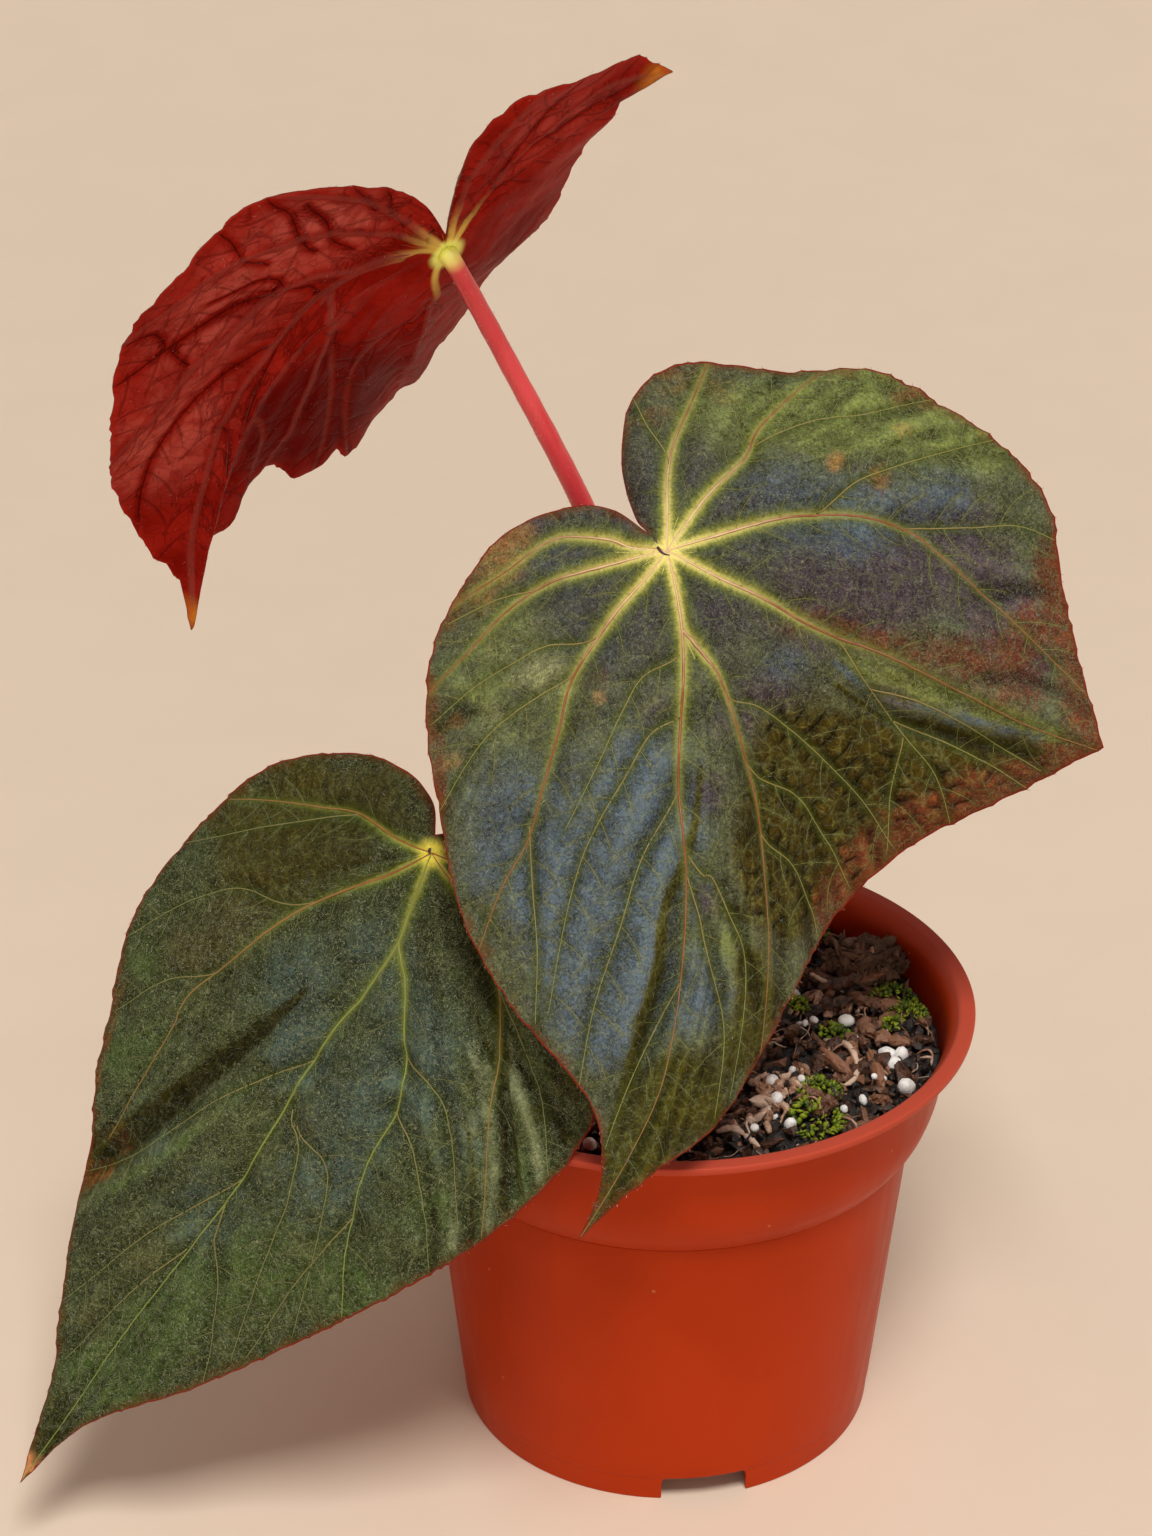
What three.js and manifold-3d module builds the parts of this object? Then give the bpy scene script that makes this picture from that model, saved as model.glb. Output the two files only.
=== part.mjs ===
// Potted peacock begonia: three waved, toothed leaves on red stalks, a creeping stem on bark soil,
// and a 105 mm plastic nursery pot. Millimetres, +Z up. The pieces are made round the pot's axis,
// and the whole group is then shifted so that the origin is the middle of its bounding box's base.
import * as THREE from 'three';
import { mergeVertices } from 'three/addons/utils/BufferGeometryUtils.js';
import Module from 'manifold-3d';

const wasm = await Module();
wasm.setup();

// Driving dimensions

const GAP = 0.3; // clearance between pieces that touch

const POT = {
  height: 80,
  rimRadius: 52.5,
  mouthRadius: 49.8,
  lipThickness: 1.5,
  lipBevel: 0.3,
  collarTopRadius: 48.8,
  collarFootRadius: 46.9,
  collarFootHeight: 62,
  bodyTopRadius: 42.4,
  bodyTopHeight: 57.5,
  ledgeRound: 1.6,
  footRadius: 36.5,
  heelFlare: 0.5,
  heelHeight: 4.9,
  wall: 1.1,
  floorThickness: 1.4,
  segments: 60,
};
const NOTCH = { count: 3, width: 15, height: 4.7, depth: 12, firstAzimuth: -80.5 };
const DRAIN = { count: 8, radius: 3.5, ringRadius: 23, sides: 16 };

// A lump of the soil's surface is about one wave long, and fine is the share of the shorter waves.
const SOIL = { wallLevel: 71, crown: 2.6, roughness: 0.8, fine: 0.6, sides: 48, rings: 7, seed: 41 };
const CHIPS = {
  count: 40,
  length: [4, 11],
  narrow: [0.3, 0.6],
  thick: [1.6, 2.6],
  taper: [0.4, 0.9],
  lift: [0.2, 0.9],
};
const PERLITE = { count: 16, radius: [1.2, 2.1], flat: [0.7, 1], lift: [0.1, 0.6] };
const SCATTER = { farthest: 42, clearOfStem: 5, tilt: 0.5 };

// The creeping stem lies on the soil, and each leaf stalk grows from a stub on it. The stem's middle
// bows aside by bow, its ends narrow to the square root of endShare, and ridges ring it.
const STEM = {
  from: [-13, -7, 74],
  to: [17, 11, 74.4],
  bow: [1.5, -2, 0.4],
  radius: 5,
  endShare: 0.12,
  ridges: 5,
  ridge: 0.08,
  sides: 12,
  steps: 14,
};
const STUB = { radius: 3.4, flare: 0.8, bend: 3, steps: 3 };

// hub is the thickening under the stalk's head, and a rib keeps ribTip of its height at the margin.
const BLADE = {
  thickness: 0.9,
  spokes: 88,
  rings: 7,
  pleat: 1.3,
  fullPanel: 8,
  ruffle: 0.9,
  ruffles: 11,
  tooth: 0.45,
  rib: 1.1,
  ribTip: 0.25,
  hub: 0.66,
};

const STALK = { sides: 10, steps: 18, foot: 3.1, footLength: 9, waist: 1.9, head: 2.3, headLength: 7, neck: 4 };

const COLOURS = { pot: 0xb03a1c, soil: 0x2a1a12, stem: 0x6b4a34, stalk: 0xb8343c };

// Each leaf: where its stalk meets the blade, the turn and tip of the blade's own plane in degrees,
// and its margin in that plane from the sinus round to the sinus, as x, y and lift. An arc of the
// margin ends at each pointed tip. A spoke leaves the stalk at a start angle and bends to its margin
// angle: starts holds that angle at the ends of the arcs, and fan holds margin angle, start angle
// and rib strength between them. bow says how early along a spoke the bend is done. route is the
// middle line of the leaf's stalk from its stub on the creeping stem to where it nears the blade.
const LEAVES = [
  {
    name: 'leaf_centre',
    stalk: 'petiole_centre',
    colour: 0x4c5c3a,
    junction: [-2, -12, 170],
    turn: 0,
    tip: 56,
    bow: 0.1,
    starts: [135, 290, 339, 495],
    arcs: [
      {
        points: [
          [-3, 3, 0], [-9, 7, -1], [-17, 7, -2], [-26, 3, -3], [-33, -6, -4], [-37, -15, -5], [-38, -26, -5],
          [-36, -40, -5], [-32, -58, -5], [-24, -72, -5], [-12, -87, -4], [-10.5, -99, -4], [-14, -108, -5],
        ],
        fan: [[150, 158, 0], [177, 170, 0.7], [208, 190, 0.8], [246, 227, 1]],
      },
      {
        points: [
          [-14, -108, -5], [-4, -99, -6], [7, -91, -9], [14, -81, -13], [20, -70, -17], [28, -56, -21],
          [40, -45, -22], [54, -38, -18], [70, -30, -10],
        ],
        fan: [[283, 303, 0.8]],
      },
      {
        points: [
          [70, -30, -10], [67, -18, -11], [64, -3, -12], [62, 9, -12], [55, 19, -12], [45, 26, -12],
          [34, 31, -11], [20, 31, -10], [4, 32, -8], [-5, 26, -6], [-7, 15, -4], [-5, 6, -2], [-3, 3, 0],
        ],
        fan: [[359, 375, 1], [410, 417, 0.9], [439, 446, 0.7], [461, 457, 0], [475, 465, 0], [488, 482, 0]],
      },
    ],
    route: [[4, -1, 81], [3.5, 0, 98], [2, 0, 120], [0.5, -1, 142], [-1.2, -4.5, 160]],
  },
  {
    name: 'leaf_left',
    stalk: 'petiole_left',
    colour: 0x46583c,
    junction: [-39.4, -26, 123.2],
    turn: -21,
    tip: 63.5,
    bow: 0.5,
    starts: [90, 254, 314, 450],
    arcs: [
      {
        points: [
          [0, 3, 0], [-2, 8, -2], [-8, 12, -4], [-19, 13, -6], [-34, 8, -8], [-47, -6, -9], [-55, -24, -9],
          [-56, -41, -8], [-55, -57, -7], [-56, -68, -7], [-55, -84, -6], [-55, -101, -5], [-57, -118, -4],
        ],
        fan: [[105, 112, 0], [124, 134, 0], [168, 172, 0.7], [203, 197, 0.6], [227, 206, 1]],
      },
      {
        points: [
          [-57, -118, -4], [-47, -106, -5], [-28, -95, -6], [-5, -79, -5], [9, -68, -4], [20, -58, -4], [29, -46, -5],
        ],
        fan: [[267, 269, 0.7], [286, 298, 0.9]],
      },
      {
        points: [
          [29, -46, -5], [32, -36, -8], [32, -25, -11], [29, -13, -13], [23, -2, -12], [16, 4, -9], [9, 6, -5],
          [3, 4, -2], [0, 3, 0],
        ],
        fan: [[322, 334, 0.8], [374, 368, 0.6], [395, 384, 0], [413, 402, 0]],
      },
    ],
    route: [[-7, -4.5, 80.5], [-10, -5.5, 92], [-18, -9, 107], [-29, -15, 116.5]],
  },
  {
    name: 'leaf_young',
    stalk: 'petiole_young',
    colour: 0x7c1418,
    junction: [-36.4, 3, 214.1],
    turn: 214,
    tip: 64,
    bow: 0.72,
    starts: [72, 10, -254, -288],
    arcs: [
      {
        points: [
          [1.5, 4.5, 0], [8, 13, -1], [19, 21, -2], [32, 23, -2], [43, 19, -2], [54, 7, -2], [56, -5, -1],
          [54, -30, 0], [44, -52, 1], [36, -63, 0], [34, -72, -4],
        ],
        fan: [[58, 56, 0], [34, 46, 0.8], [-1, 39, 0.9], [-26, 35, 0.9], [-50, 30, 0]],
      },
      {
        points: [
          [34, -72, -4], [32, -64, 0], [31, -58, 2], [25.5, -56, 3], [23.5, -51, 4], [20, -48, 5], [16, -50, 6],
          [12, -54.5, 7], [7, -54, 8], [4, -51.5, 9], [0, -55.5, 10], [-5, -53, 12], [-9, -51.5, 14], [-13, -50, 16],
          [-17, -50, 17], [-21, -46, 20], [-24, -42, 21], [-28, -31, 20], [-30, -16, 15], [-28, 2, 9],
          [-28, 19, 4], [-33, 30, 0],
        ],
        fan: [[-70, -6, 0], [-88, -30, 0.8], [-108, -70, 0.7], [-150, -140, 0.6], [-190, -200, 0], [-212, -243, 0.7]],
      },
      {
        points: [[-33, 30, 0], [-23, 36, -2], [-13, 37, -4], [-2, 36, -5], [3, 28, -4], [2.5, 16, -2], [1.5, 4.5, 0]],
        fan: [[-262, -270, 0.7], [-278, -281, 0]],
      },
    ],
    route: [
      [12, 8, 81], [8.5, 9.5, 100], [1.5, 10, 125], [-8, 10.5, 150], [-15.2, 10, 168.2], [-20.5, 8.5, 180.3],
      [-26, 7, 192.1], [-31.4, 5, 203.9],
    ],
  },
];

// Small helpers

const radians = THREE.MathUtils.degToRad;
const vector = ([x, y, z]) => new THREE.Vector3(x, y, z);

// A repeatable draw between low and high.
function drawFrom(seed) {
  let state = seed;
  return (low, high) => {
    state = (state * 16807) % 2147483647;
    return low + ((high - low) * state) / 2147483647;
  };
}

function closedGeometry(positions, triangles) {
  const geometry = new THREE.BufferGeometry();
  geometry.setAttribute('position', new THREE.Float32BufferAttribute(positions, 3));
  geometry.setIndex(triangles);
  return geometry;
}

function solidOf(geometry) {
  const bare = geometry.clone();
  bare.deleteAttribute('normal');
  bare.deleteAttribute('uv');
  const merged = mergeVertices(bare, 1e-4);
  return new wasm.Manifold(
    new wasm.Mesh({
      numProp: 3,
      vertProperties: merged.attributes.position.array,
      triVerts: new Uint32Array(merged.index.array),
    }),
  );
}

function geometryOf(solid) {
  const mesh = solid.getMesh();
  return closedGeometry(Array.from(mesh.vertProperties), Array.from(mesh.triVerts));
}

function piece(name, geometry, colour, roughness) {
  const material = new THREE.MeshStandardMaterial({ color: colour, roughness, metalness: 0 });
  geometry.computeVertexNormals();
  const mesh = new THREE.Mesh(geometry, material);
  mesh.name = name;
  return mesh;
}

// Bends a capped cylinder along a curve, with a radius for each place along it.
function tube(curve, radiusAt, sides, steps) {
  const geometry = new THREE.CylinderGeometry(1, 1, 1, sides, steps);
  const frames = curve.computeFrenetFrames(steps, false);
  const position = geometry.attributes.position;
  const corner = new THREE.Vector3();
  for (let i = 0; i < position.count; i += 1) {
    corner.fromBufferAttribute(position, i);
    const step = Math.round((corner.y + 0.5) * steps);
    const along = step / steps;
    const spot = curve.getPointAt(along);
    const radius = radiusAt(along);
    spot.addScaledVector(frames.normals[step], -corner.x * radius);
    spot.addScaledVector(frames.binormals[step], corner.z * radius);
    position.setXYZ(i, spot.x, spot.y, spot.z);
  }
  return geometry;
}

// Pot: a turned shell with a flat lip, a stepped collar, a raised floor and a notched foot ring

function potInsideProfile(clearance) {
  const inset = POT.wall + clearance;
  return [
    [POT.footRadius + POT.heelFlare - inset, POT.heelHeight + POT.floorThickness + clearance],
    [POT.bodyTopRadius - inset, POT.bodyTopHeight],
    [POT.collarFootRadius - POT.ledgeRound - inset, POT.bodyTopHeight + POT.ledgeRound],
    [POT.collarFootRadius - inset, POT.collarFootHeight],
    [POT.collarTopRadius - inset, POT.height - 2 * POT.lipThickness],
  ];
}

function pot() {
  const { height, wall, heelHeight, ledgeRound, lipThickness, lipBevel } = POT;
  const inside = potInsideProfile(0);
  const profile = [
    [0, heelHeight],
    [POT.footRadius - wall, heelHeight],
    [POT.footRadius - wall, 0],
    [POT.footRadius, 0],
    [POT.footRadius + POT.heelFlare, heelHeight],
    [POT.bodyTopRadius, POT.bodyTopHeight],
    [POT.bodyTopRadius + ledgeRound, POT.bodyTopHeight + ledgeRound / 3],
    [POT.collarFootRadius - ledgeRound, POT.bodyTopHeight + ledgeRound],
    [POT.collarFootRadius, POT.collarFootHeight],
    [POT.collarTopRadius, height - lipThickness],
    [POT.rimRadius, height - lipThickness],
    [POT.rimRadius, height - lipBevel],
    [POT.rimRadius - lipBevel, height],
    [POT.mouthRadius, height],
    ...inside.slice().reverse(),
    [0, heelHeight + POT.floorThickness],
  ];
  const outline = profile.map(([radius, level]) => new THREE.Vector2(radius, level));
  const shell = new THREE.LatheGeometry(outline, POT.segments);
  shell.rotateX(Math.PI / 2);
  let solid = solidOf(shell);

  const notch = new THREE.BoxGeometry(NOTCH.depth, NOTCH.width, NOTCH.height * 2);
  for (let i = 0; i < NOTCH.count; i += 1) {
    const cut = notch.clone();
    cut.translate(POT.footRadius, 0, 0);
    cut.rotateZ(radians(NOTCH.firstAzimuth + (360 / NOTCH.count) * i));
    solid = solid.subtract(solidOf(cut));
  }
  for (let i = 0; i < DRAIN.count; i += 1) {
    const hole = new THREE.CylinderGeometry(DRAIN.radius, DRAIN.radius, 2 * heelHeight, DRAIN.sides);
    hole.rotateX(Math.PI / 2);
    hole.translate(DRAIN.ringRadius, 0, heelHeight);
    hole.rotateZ((i * 2 * Math.PI) / DRAIN.count);
    solid = solid.subtract(solidOf(hole));
  }
  return piece('pot', geometryOf(solid), COLOURS.pot, 0.5);
}

// Soil: fills the pot to its mounded, rough top, with bark chips and perlite grown into that top

function soilLevel(x, y) {
  const outward = Math.hypot(x, y) / POT.collarTopRadius;
  const long = Math.sin(x * 0.31 + 1.3) * Math.cos(y * 0.27 - 0.4);
  const short = Math.sin(x * 0.52 - y * 0.61);
  const mound = SOIL.crown * (1 - outward * outward);
  return SOIL.wallLevel + mound + SOIL.roughness * (long + SOIL.fine * short);
}

function soilBody() {
  const { sides, rings } = SOIL;
  const wallLine = potInsideProfile(GAP);
  const [collarFoot, collarTop] = wallLine.slice(3);
  const edgeRadius = THREE.MathUtils.mapLinear(
    SOIL.wallLevel, collarFoot[1], collarTop[1], collarFoot[0], collarTop[0],
  );
  const positions = [];
  const triangles = [];
  const addRing = (radius, levelAt) => {
    for (let i = 0; i < sides; i += 1) {
      const turn = (i * 2 * Math.PI) / sides;
      const x = radius * Math.cos(turn);
      const y = radius * Math.sin(turn);
      positions.push(x, y, levelAt(x, y));
    }
  };
  const shrink = Math.cos(Math.PI / POT.segments);
  for (const [radius, level] of wallLine.slice(0, 4)) addRing(radius * shrink, () => level);
  for (let ring = rings; ring >= 1; ring -= 1) addRing((edgeRadius * shrink * ring) / rings, soilLevel);
  const ringCount = positions.length / 3 / sides;
  const bottom = positions.length / 3;
  positions.push(0, 0, wallLine[0][1]);
  const top = bottom + 1;
  positions.push(0, 0, soilLevel(0, 0));
  for (let i = 0; i < sides; i += 1) {
    const next = (i + 1) % sides;
    triangles.push(bottom, next, i);
    const last = (ringCount - 1) * sides;
    triangles.push(top, last + i, last + next);
    for (let ring = 0; ring < ringCount - 1; ring += 1) {
      const low = ring * sides;
      const high = low + sides;
      triangles.push(low + i, low + next, high + next, low + i, high + next, high + i);
    }
  }
  return solidOf(closedGeometry(positions, triangles));
}

// Turns a chip or grain at random and sets it on the soil at spot, its middle raised by lift.
function scatter(geometry, draw, spot, lift) {
  geometry.rotateX(draw(-SCATTER.tilt, SCATTER.tilt));
  geometry.rotateY(draw(-SCATTER.tilt, SCATTER.tilt));
  geometry.rotateZ(draw(0, 2 * Math.PI));
  geometry.translate(spot.x, spot.y, soilLevel(spot.x, spot.y) + lift);
  return solidOf(geometry);
}

// A place on the soil at a fair share of its area, clear of the creeping stem.
function openSpot(draw) {
  const stemLine = new THREE.Line3(vector(STEM.from), vector(STEM.to));
  const nearest = new THREE.Vector3();
  for (;;) {
    const radius = SCATTER.farthest * Math.sqrt(draw(0, 1));
    const turn = draw(0, 2 * Math.PI);
    const spot = new THREE.Vector3(radius * Math.cos(turn), radius * Math.sin(turn), STEM.from[2]);
    stemLine.closestPointToPoint(spot, true, nearest);
    if (nearest.distanceTo(spot) > STEM.radius + SCATTER.clearOfStem) return spot;
  }
}

function largestPart(solid) {
  const parts = solid.decompose();
  parts.sort((a, b) => b.volume() - a.volume());
  return parts[0];
}

function pottingSoil() {
  const draw = drawFrom(SOIL.seed);
  let solid = soilBody();
  for (let i = 0; i < CHIPS.count; i += 1) {
    const length = draw(...CHIPS.length);
    const chip = new THREE.BoxGeometry(length, length * draw(...CHIPS.narrow), draw(...CHIPS.thick));
    const taper = draw(...CHIPS.taper);
    const position = chip.attributes.position;
    for (let v = 0; v < position.count; v += 1) {
      if (position.getX(v) > 0) position.setY(v, position.getY(v) * taper);
    }
    solid = solid.add(scatter(chip, draw, openSpot(draw), draw(...CHIPS.lift)));
  }
  for (let i = 0; i < PERLITE.count; i += 1) {
    const grain = new THREE.IcosahedronGeometry(draw(...PERLITE.radius), 0);
    grain.scale(1, draw(...PERLITE.flat), draw(...PERLITE.flat));
    solid = solid.add(scatter(grain, draw, openSpot(draw), draw(...PERLITE.lift)));
  }
  solid = solid.subtract(creepingStem(GAP));
  for (const leaf of LEAVES) solid = solid.subtract(solidOf(stubOf(leaf, GAP)));
  return piece('potting_soil', geometryOf(largestPart(solid)), COLOURS.soil, 0.95);
}

// Creeping stem: a knobby rod lying half in the soil, with one stub for each leaf stalk

function creepingStem(extra) {
  const from = vector(STEM.from);
  const to = vector(STEM.to);
  const middle = from.clone().lerp(to, 0.5).add(vector(STEM.bow));
  const line = new THREE.QuadraticBezierCurve3(from, middle, to);
  const knobs = (along) => {
    const ends = Math.sqrt(Math.max(STEM.endShare, 1 - (2 * along - 1) ** 6));
    const ridges = 1 + STEM.ridge * Math.cos(2 * Math.PI * STEM.ridges * along);
    return STEM.radius * ends * ridges + extra;
  };
  return solidOf(tube(line, knobs, STEM.sides, STEM.steps));
}

// The stalk's middle line, which turns square to the blade just below it.
function stalkCurve(leaf) {
  const junction = vector(leaf.junction);
  const facing = new THREE.Vector3(0, 0, 1).applyEuler(bladeTurn(leaf));
  const neck = junction.clone().addScaledVector(facing, -STALK.neck);
  return new THREE.CatmullRomCurve3([...leaf.route.map(vector), neck, junction], false, 'centripetal');
}

// The stub runs from inside the creeping stem to just short of the foot of the leaf's stalk.
function stubOf(leaf, extra) {
  const curve = stalkCurve(leaf);
  const foot = curve.getPointAt(0);
  const heading = curve.getTangentAt(0);
  const root = new THREE.Vector3();
  new THREE.Line3(vector(STEM.from), vector(STEM.to)).closestPointToPoint(foot, true, root);
  const end = foot.clone().addScaledVector(heading, -GAP);
  const below = end.clone().addScaledVector(heading, -STUB.bend);
  const line = new THREE.QuadraticBezierCurve3(root, below, end);
  const radiusAt = (along) => STUB.radius + (1 - along) * STUB.flare + extra;
  return tube(line, radiusAt, STEM.sides, STUB.steps);
}

function rhizome() {
  let solid = creepingStem(0);
  for (const leaf of LEAVES) solid = solid.add(solidOf(stubOf(leaf, 0)));
  return piece('rhizome', geometryOf(solid), COLOURS.stem, 0.8);
}

// Leaf stalks

function petiole(leaf) {
  const curve = stalkCurve(leaf);
  const length = curve.getLength();
  const radiusAt = (along) => {
    const fromFoot = along * length;
    const fromHead = (1 - along) * length;
    const foot = (STALK.foot - STALK.waist) * Math.exp(-fromFoot / STALK.footLength);
    const head = (STALK.head - STALK.waist) * Math.exp(-((fromHead / STALK.headLength) ** 2));
    return STALK.waist + foot + head;
  };
  const whole = solidOf(tube(curve, radiusAt, STALK.sides, STALK.steps));
  const seat = bladeGeometry(leaf, GAP);
  seat.applyQuaternion(new THREE.Quaternion().setFromEuler(bladeTurn(leaf)));
  seat.translate(...leaf.junction);
  const stalk = largestPart(whole.subtract(solidOf(seat)));
  return piece(leaf.stalk, geometryOf(stalk), COLOURS.stalk, 0.45);
}

// Leaf blades

// The margin as evenly spaced points, and the number of the point that ends each arc.
function marginOf(leaf) {
  const curves = leaf.arcs.map(
    (arc) => new THREE.CatmullRomCurve3(arc.points.map(vector), false, 'catmullrom', 0.5),
  );
  const whole = curves.reduce((sum, curve) => sum + curve.getLength(), 0);
  const points = [];
  const corners = [0];
  curves.forEach((curve, k) => {
    const share = Math.round((BLADE.spokes * curve.getLength()) / whole);
    const count = k < curves.length - 1 ? share : BLADE.spokes - points.length;
    points.push(...curve.getSpacedPoints(count).slice(0, count));
    corners.push(points.length);
  });
  return { points, corners };
}

// The angle of each margin point seen from the stalk, unwrapped so that it never jumps.
function anglesOf(points, first) {
  const angles = [];
  let last = first;
  for (const point of points) {
    let angle = THREE.MathUtils.radToDeg(Math.atan2(point.y, point.x));
    angle += 360 * Math.round((last - angle) / 360);
    angles.push(angle);
    last = angle;
  }
  return angles;
}

// The keyed spokes in order round the leaf: their number, start angle and rib strength.
function keysOf(leaf, angles, corners) {
  const keys = [{ spoke: 0, start: leaf.starts[0], rib: 0 }];
  leaf.arcs.forEach((arc, k) => {
    for (const [margin, start, rib] of arc.fan) {
      let spoke = corners[k];
      for (let i = corners[k]; i < corners[k + 1]; i += 1) {
        if (Math.abs(angles[i] - margin) < Math.abs(angles[spoke] - margin)) spoke = i;
      }
      keys.push({ spoke, start, rib });
    }
    const rib = k < leaf.arcs.length - 1 ? 1 : 0;
    keys.push({ spoke: corners[k + 1], start: leaf.starts[k + 1], rib });
  });
  return keys;
}

// Each spoke's place between the ribs on either side of it, from 0 to 1, and that panel's width.
function panelsOf(keys) {
  const ribs = [keys[0], ...keys.filter((key) => key.rib > 0), keys[keys.length - 1]];
  return (spoke) => {
    let k = 0;
    while (k < ribs.length - 2 && ribs[k + 1].spoke <= spoke) k += 1;
    const width = ribs[k + 1].spoke - ribs[k].spoke;
    return { share: (spoke - ribs[k].spoke) / width, width };
  };
}

// The turn from the blade's own plane to the plant.
function bladeTurn(leaf) {
  return new THREE.Euler(radians(leaf.tip), 0, radians(leaf.turn), 'ZXY');
}

// The blade in its own plane, or the seat that it needs when extra is a clearance.
function bladeGeometry(leaf, extra) {
  const { spokes, rings } = BLADE;
  const half = BLADE.thickness / 2 + extra;
  const { points, corners } = marginOf(leaf);
  const angles = anglesOf(points, leaf.starts[0]);
  const keys = keysOf(leaf, angles, corners);
  const panelAt = panelsOf(keys);
  const top = [0, 0, half];
  const under = [0, 0, -half - BLADE.hub];

  for (let ring = 1; ring <= rings; ring += 1) {
    const out = ring / rings;
    for (let i = 0; i < spokes; i += 1) {
      const after = keys.findIndex((key) => key.spoke > i);
      const before = keys[after - 1];
      const between = (i - before.spoke) / (keys[after].spoke - before.spoke);
      const start = THREE.MathUtils.lerp(before.start, keys[after].start, between);
      const unbent = (1 - leaf.bow) * (1 - out) + leaf.bow * (1 - out) ** 2;
      const angle = radians(angles[i] + (start - angles[i]) * unbent);
      const corner = corners.includes(i);
      const tooth = ring < rings || corner ? 0 : BLADE.tooth * (i % 2 === 0 ? 1 : -1);
      const reach = Math.hypot(points[i].x, points[i].y) * out + tooth;
      const { share, width } = panelAt(i);
      const fullness = Math.min(1, width / BLADE.fullPanel);
      const pleat = BLADE.pleat * fullness * Math.sin(Math.PI * share) * 4 * out * (1 - out);
      const ruffle = BLADE.ruffle * Math.sin((2 * Math.PI * BLADE.ruffles * i) / spokes) * out ** 5;
      const lift = points[i].z * out ** 1.6 + pleat + (corner ? 0 : ruffle);
      const onRib = keys.find((key) => key.spoke === i && key.rib > 0);
      const rib = onRib ? BLADE.rib * onRib.rib * THREE.MathUtils.lerp(1, BLADE.ribTip, out) : 0;
      const x = reach * Math.cos(angle);
      const y = reach * Math.sin(angle);
      top.push(x, y, lift + half);
      under.push(x, y, lift - half - rib);
    }
  }

  const offset = top.length / 3;
  const triangles = [];
  const face = (a, b, c) => {
    triangles.push(a, b, c, offset + a, offset + c, offset + b);
  };
  for (let i = 0; i < spokes; i += 1) {
    const next = (i + 1) % spokes;
    face(0, 1 + i, 1 + next);
    for (let ring = 0; ring < rings - 1; ring += 1) {
      const near = 1 + ring * spokes;
      const far = near + spokes;
      face(near + i, far + i, far + next);
      face(near + i, far + next, near + next);
    }
    const edge = 1 + (rings - 1) * spokes;
    const low = offset + edge;
    triangles.push(edge + i, low + i, low + next, edge + i, low + next, edge + next);
  }
  // A margin that runs clockwise gives every face the other way round.
  if (leaf.starts[leaf.starts.length - 1] < leaf.starts[0]) {
    for (let t = 0; t < triangles.length; t += 3) {
      [triangles[t + 1], triangles[t + 2]] = [triangles[t + 2], triangles[t + 1]];
    }
  }
  return closedGeometry([...top, ...under], triangles);
}

function blade(leaf) {
  const mesh = piece(leaf.name, bladeGeometry(leaf, 0), leaf.colour, 0.4);
  mesh.rotation.copy(bladeTurn(leaf));
  mesh.position.copy(vector(leaf.junction));
  return mesh;
}

// The whole plant in its pot

const plant = new THREE.Group();
plant.add(pot(), pottingSoil(), rhizome());
for (const leaf of LEAVES) plant.add(petiole(leaf), blade(leaf));

plant.updateMatrixWorld(true);
const bounds = new THREE.Box3().setFromObject(plant, true);
const middle = bounds.getCenter(new THREE.Vector3());
plant.position.set(-middle.x, -middle.y, -bounds.min.z);

export default plant;
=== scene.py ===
"""Looks of a potted begonia: three patterned leaves on red stalks, a creeping stem and bark soil in a
plastic nursery pot. Shapes are worked out in millimetres round the pot's axis, then set in the frame."""
import math

import bmesh
import bpy
import numpy as np
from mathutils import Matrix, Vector, noise
from mathutils.kdtree import KDTree


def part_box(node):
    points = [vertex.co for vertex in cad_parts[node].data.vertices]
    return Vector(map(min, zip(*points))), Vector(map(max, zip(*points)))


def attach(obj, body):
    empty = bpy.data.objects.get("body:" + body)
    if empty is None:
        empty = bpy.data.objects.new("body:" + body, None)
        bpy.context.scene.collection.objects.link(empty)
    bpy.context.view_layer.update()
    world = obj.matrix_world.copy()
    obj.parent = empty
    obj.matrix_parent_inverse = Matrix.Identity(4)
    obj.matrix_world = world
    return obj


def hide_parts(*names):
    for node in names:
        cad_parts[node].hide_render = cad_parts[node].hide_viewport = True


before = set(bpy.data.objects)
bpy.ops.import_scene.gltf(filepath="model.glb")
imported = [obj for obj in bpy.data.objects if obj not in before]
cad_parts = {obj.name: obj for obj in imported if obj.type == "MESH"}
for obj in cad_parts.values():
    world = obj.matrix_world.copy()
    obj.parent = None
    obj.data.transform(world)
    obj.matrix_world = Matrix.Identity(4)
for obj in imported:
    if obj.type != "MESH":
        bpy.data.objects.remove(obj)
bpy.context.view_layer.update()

MM = 0.001
POT_LOW, POT_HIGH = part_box("pot")
AXIS = np.array([(POT_LOW.x + POT_HIGH.x) / 2, (POT_LOW.y + POT_HIGH.y) / 2, 0.0]) / MM

# Camera, measured from the pot's axis in millimetres
CAMERA = {"spot": (-16.3, -529.2, 407.9), "pitch": 28.15, "lens": 84.375}

# Floor, in metres: the radius that is flat, the curve's radius beyond it, and how far it reaches
FLOOR_COLOUR = (0.785, 0.640, 0.505)
FLOOR = {"flat": 0.4, "curve": 2.2, "reach": 2.2}
# Lights: azimuth from the camera's side, elevation, distance and size in metres, power and colour
LIGHTS = {
    "key": (12, 64, 4.5, 1.4, 158, (1.0, 0.985, 0.96)),
    "front": (6, 14, 2.0, 0.7, 8, (1.0, 0.98, 0.96)),
    "fill": (-60, 35, 2.4, 1.5, 3, (1.0, 0.98, 0.96)),
    "rim": (160, 50, 2.4, 0.9, 1.5, (1.0, 0.98, 0.95)),
}
LIGHT_TARGET = (0, 0, 0.11)
ROOM_COLOUR, ROOM_LIGHT = (1.0, 0.97, 0.94), 0.17

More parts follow.
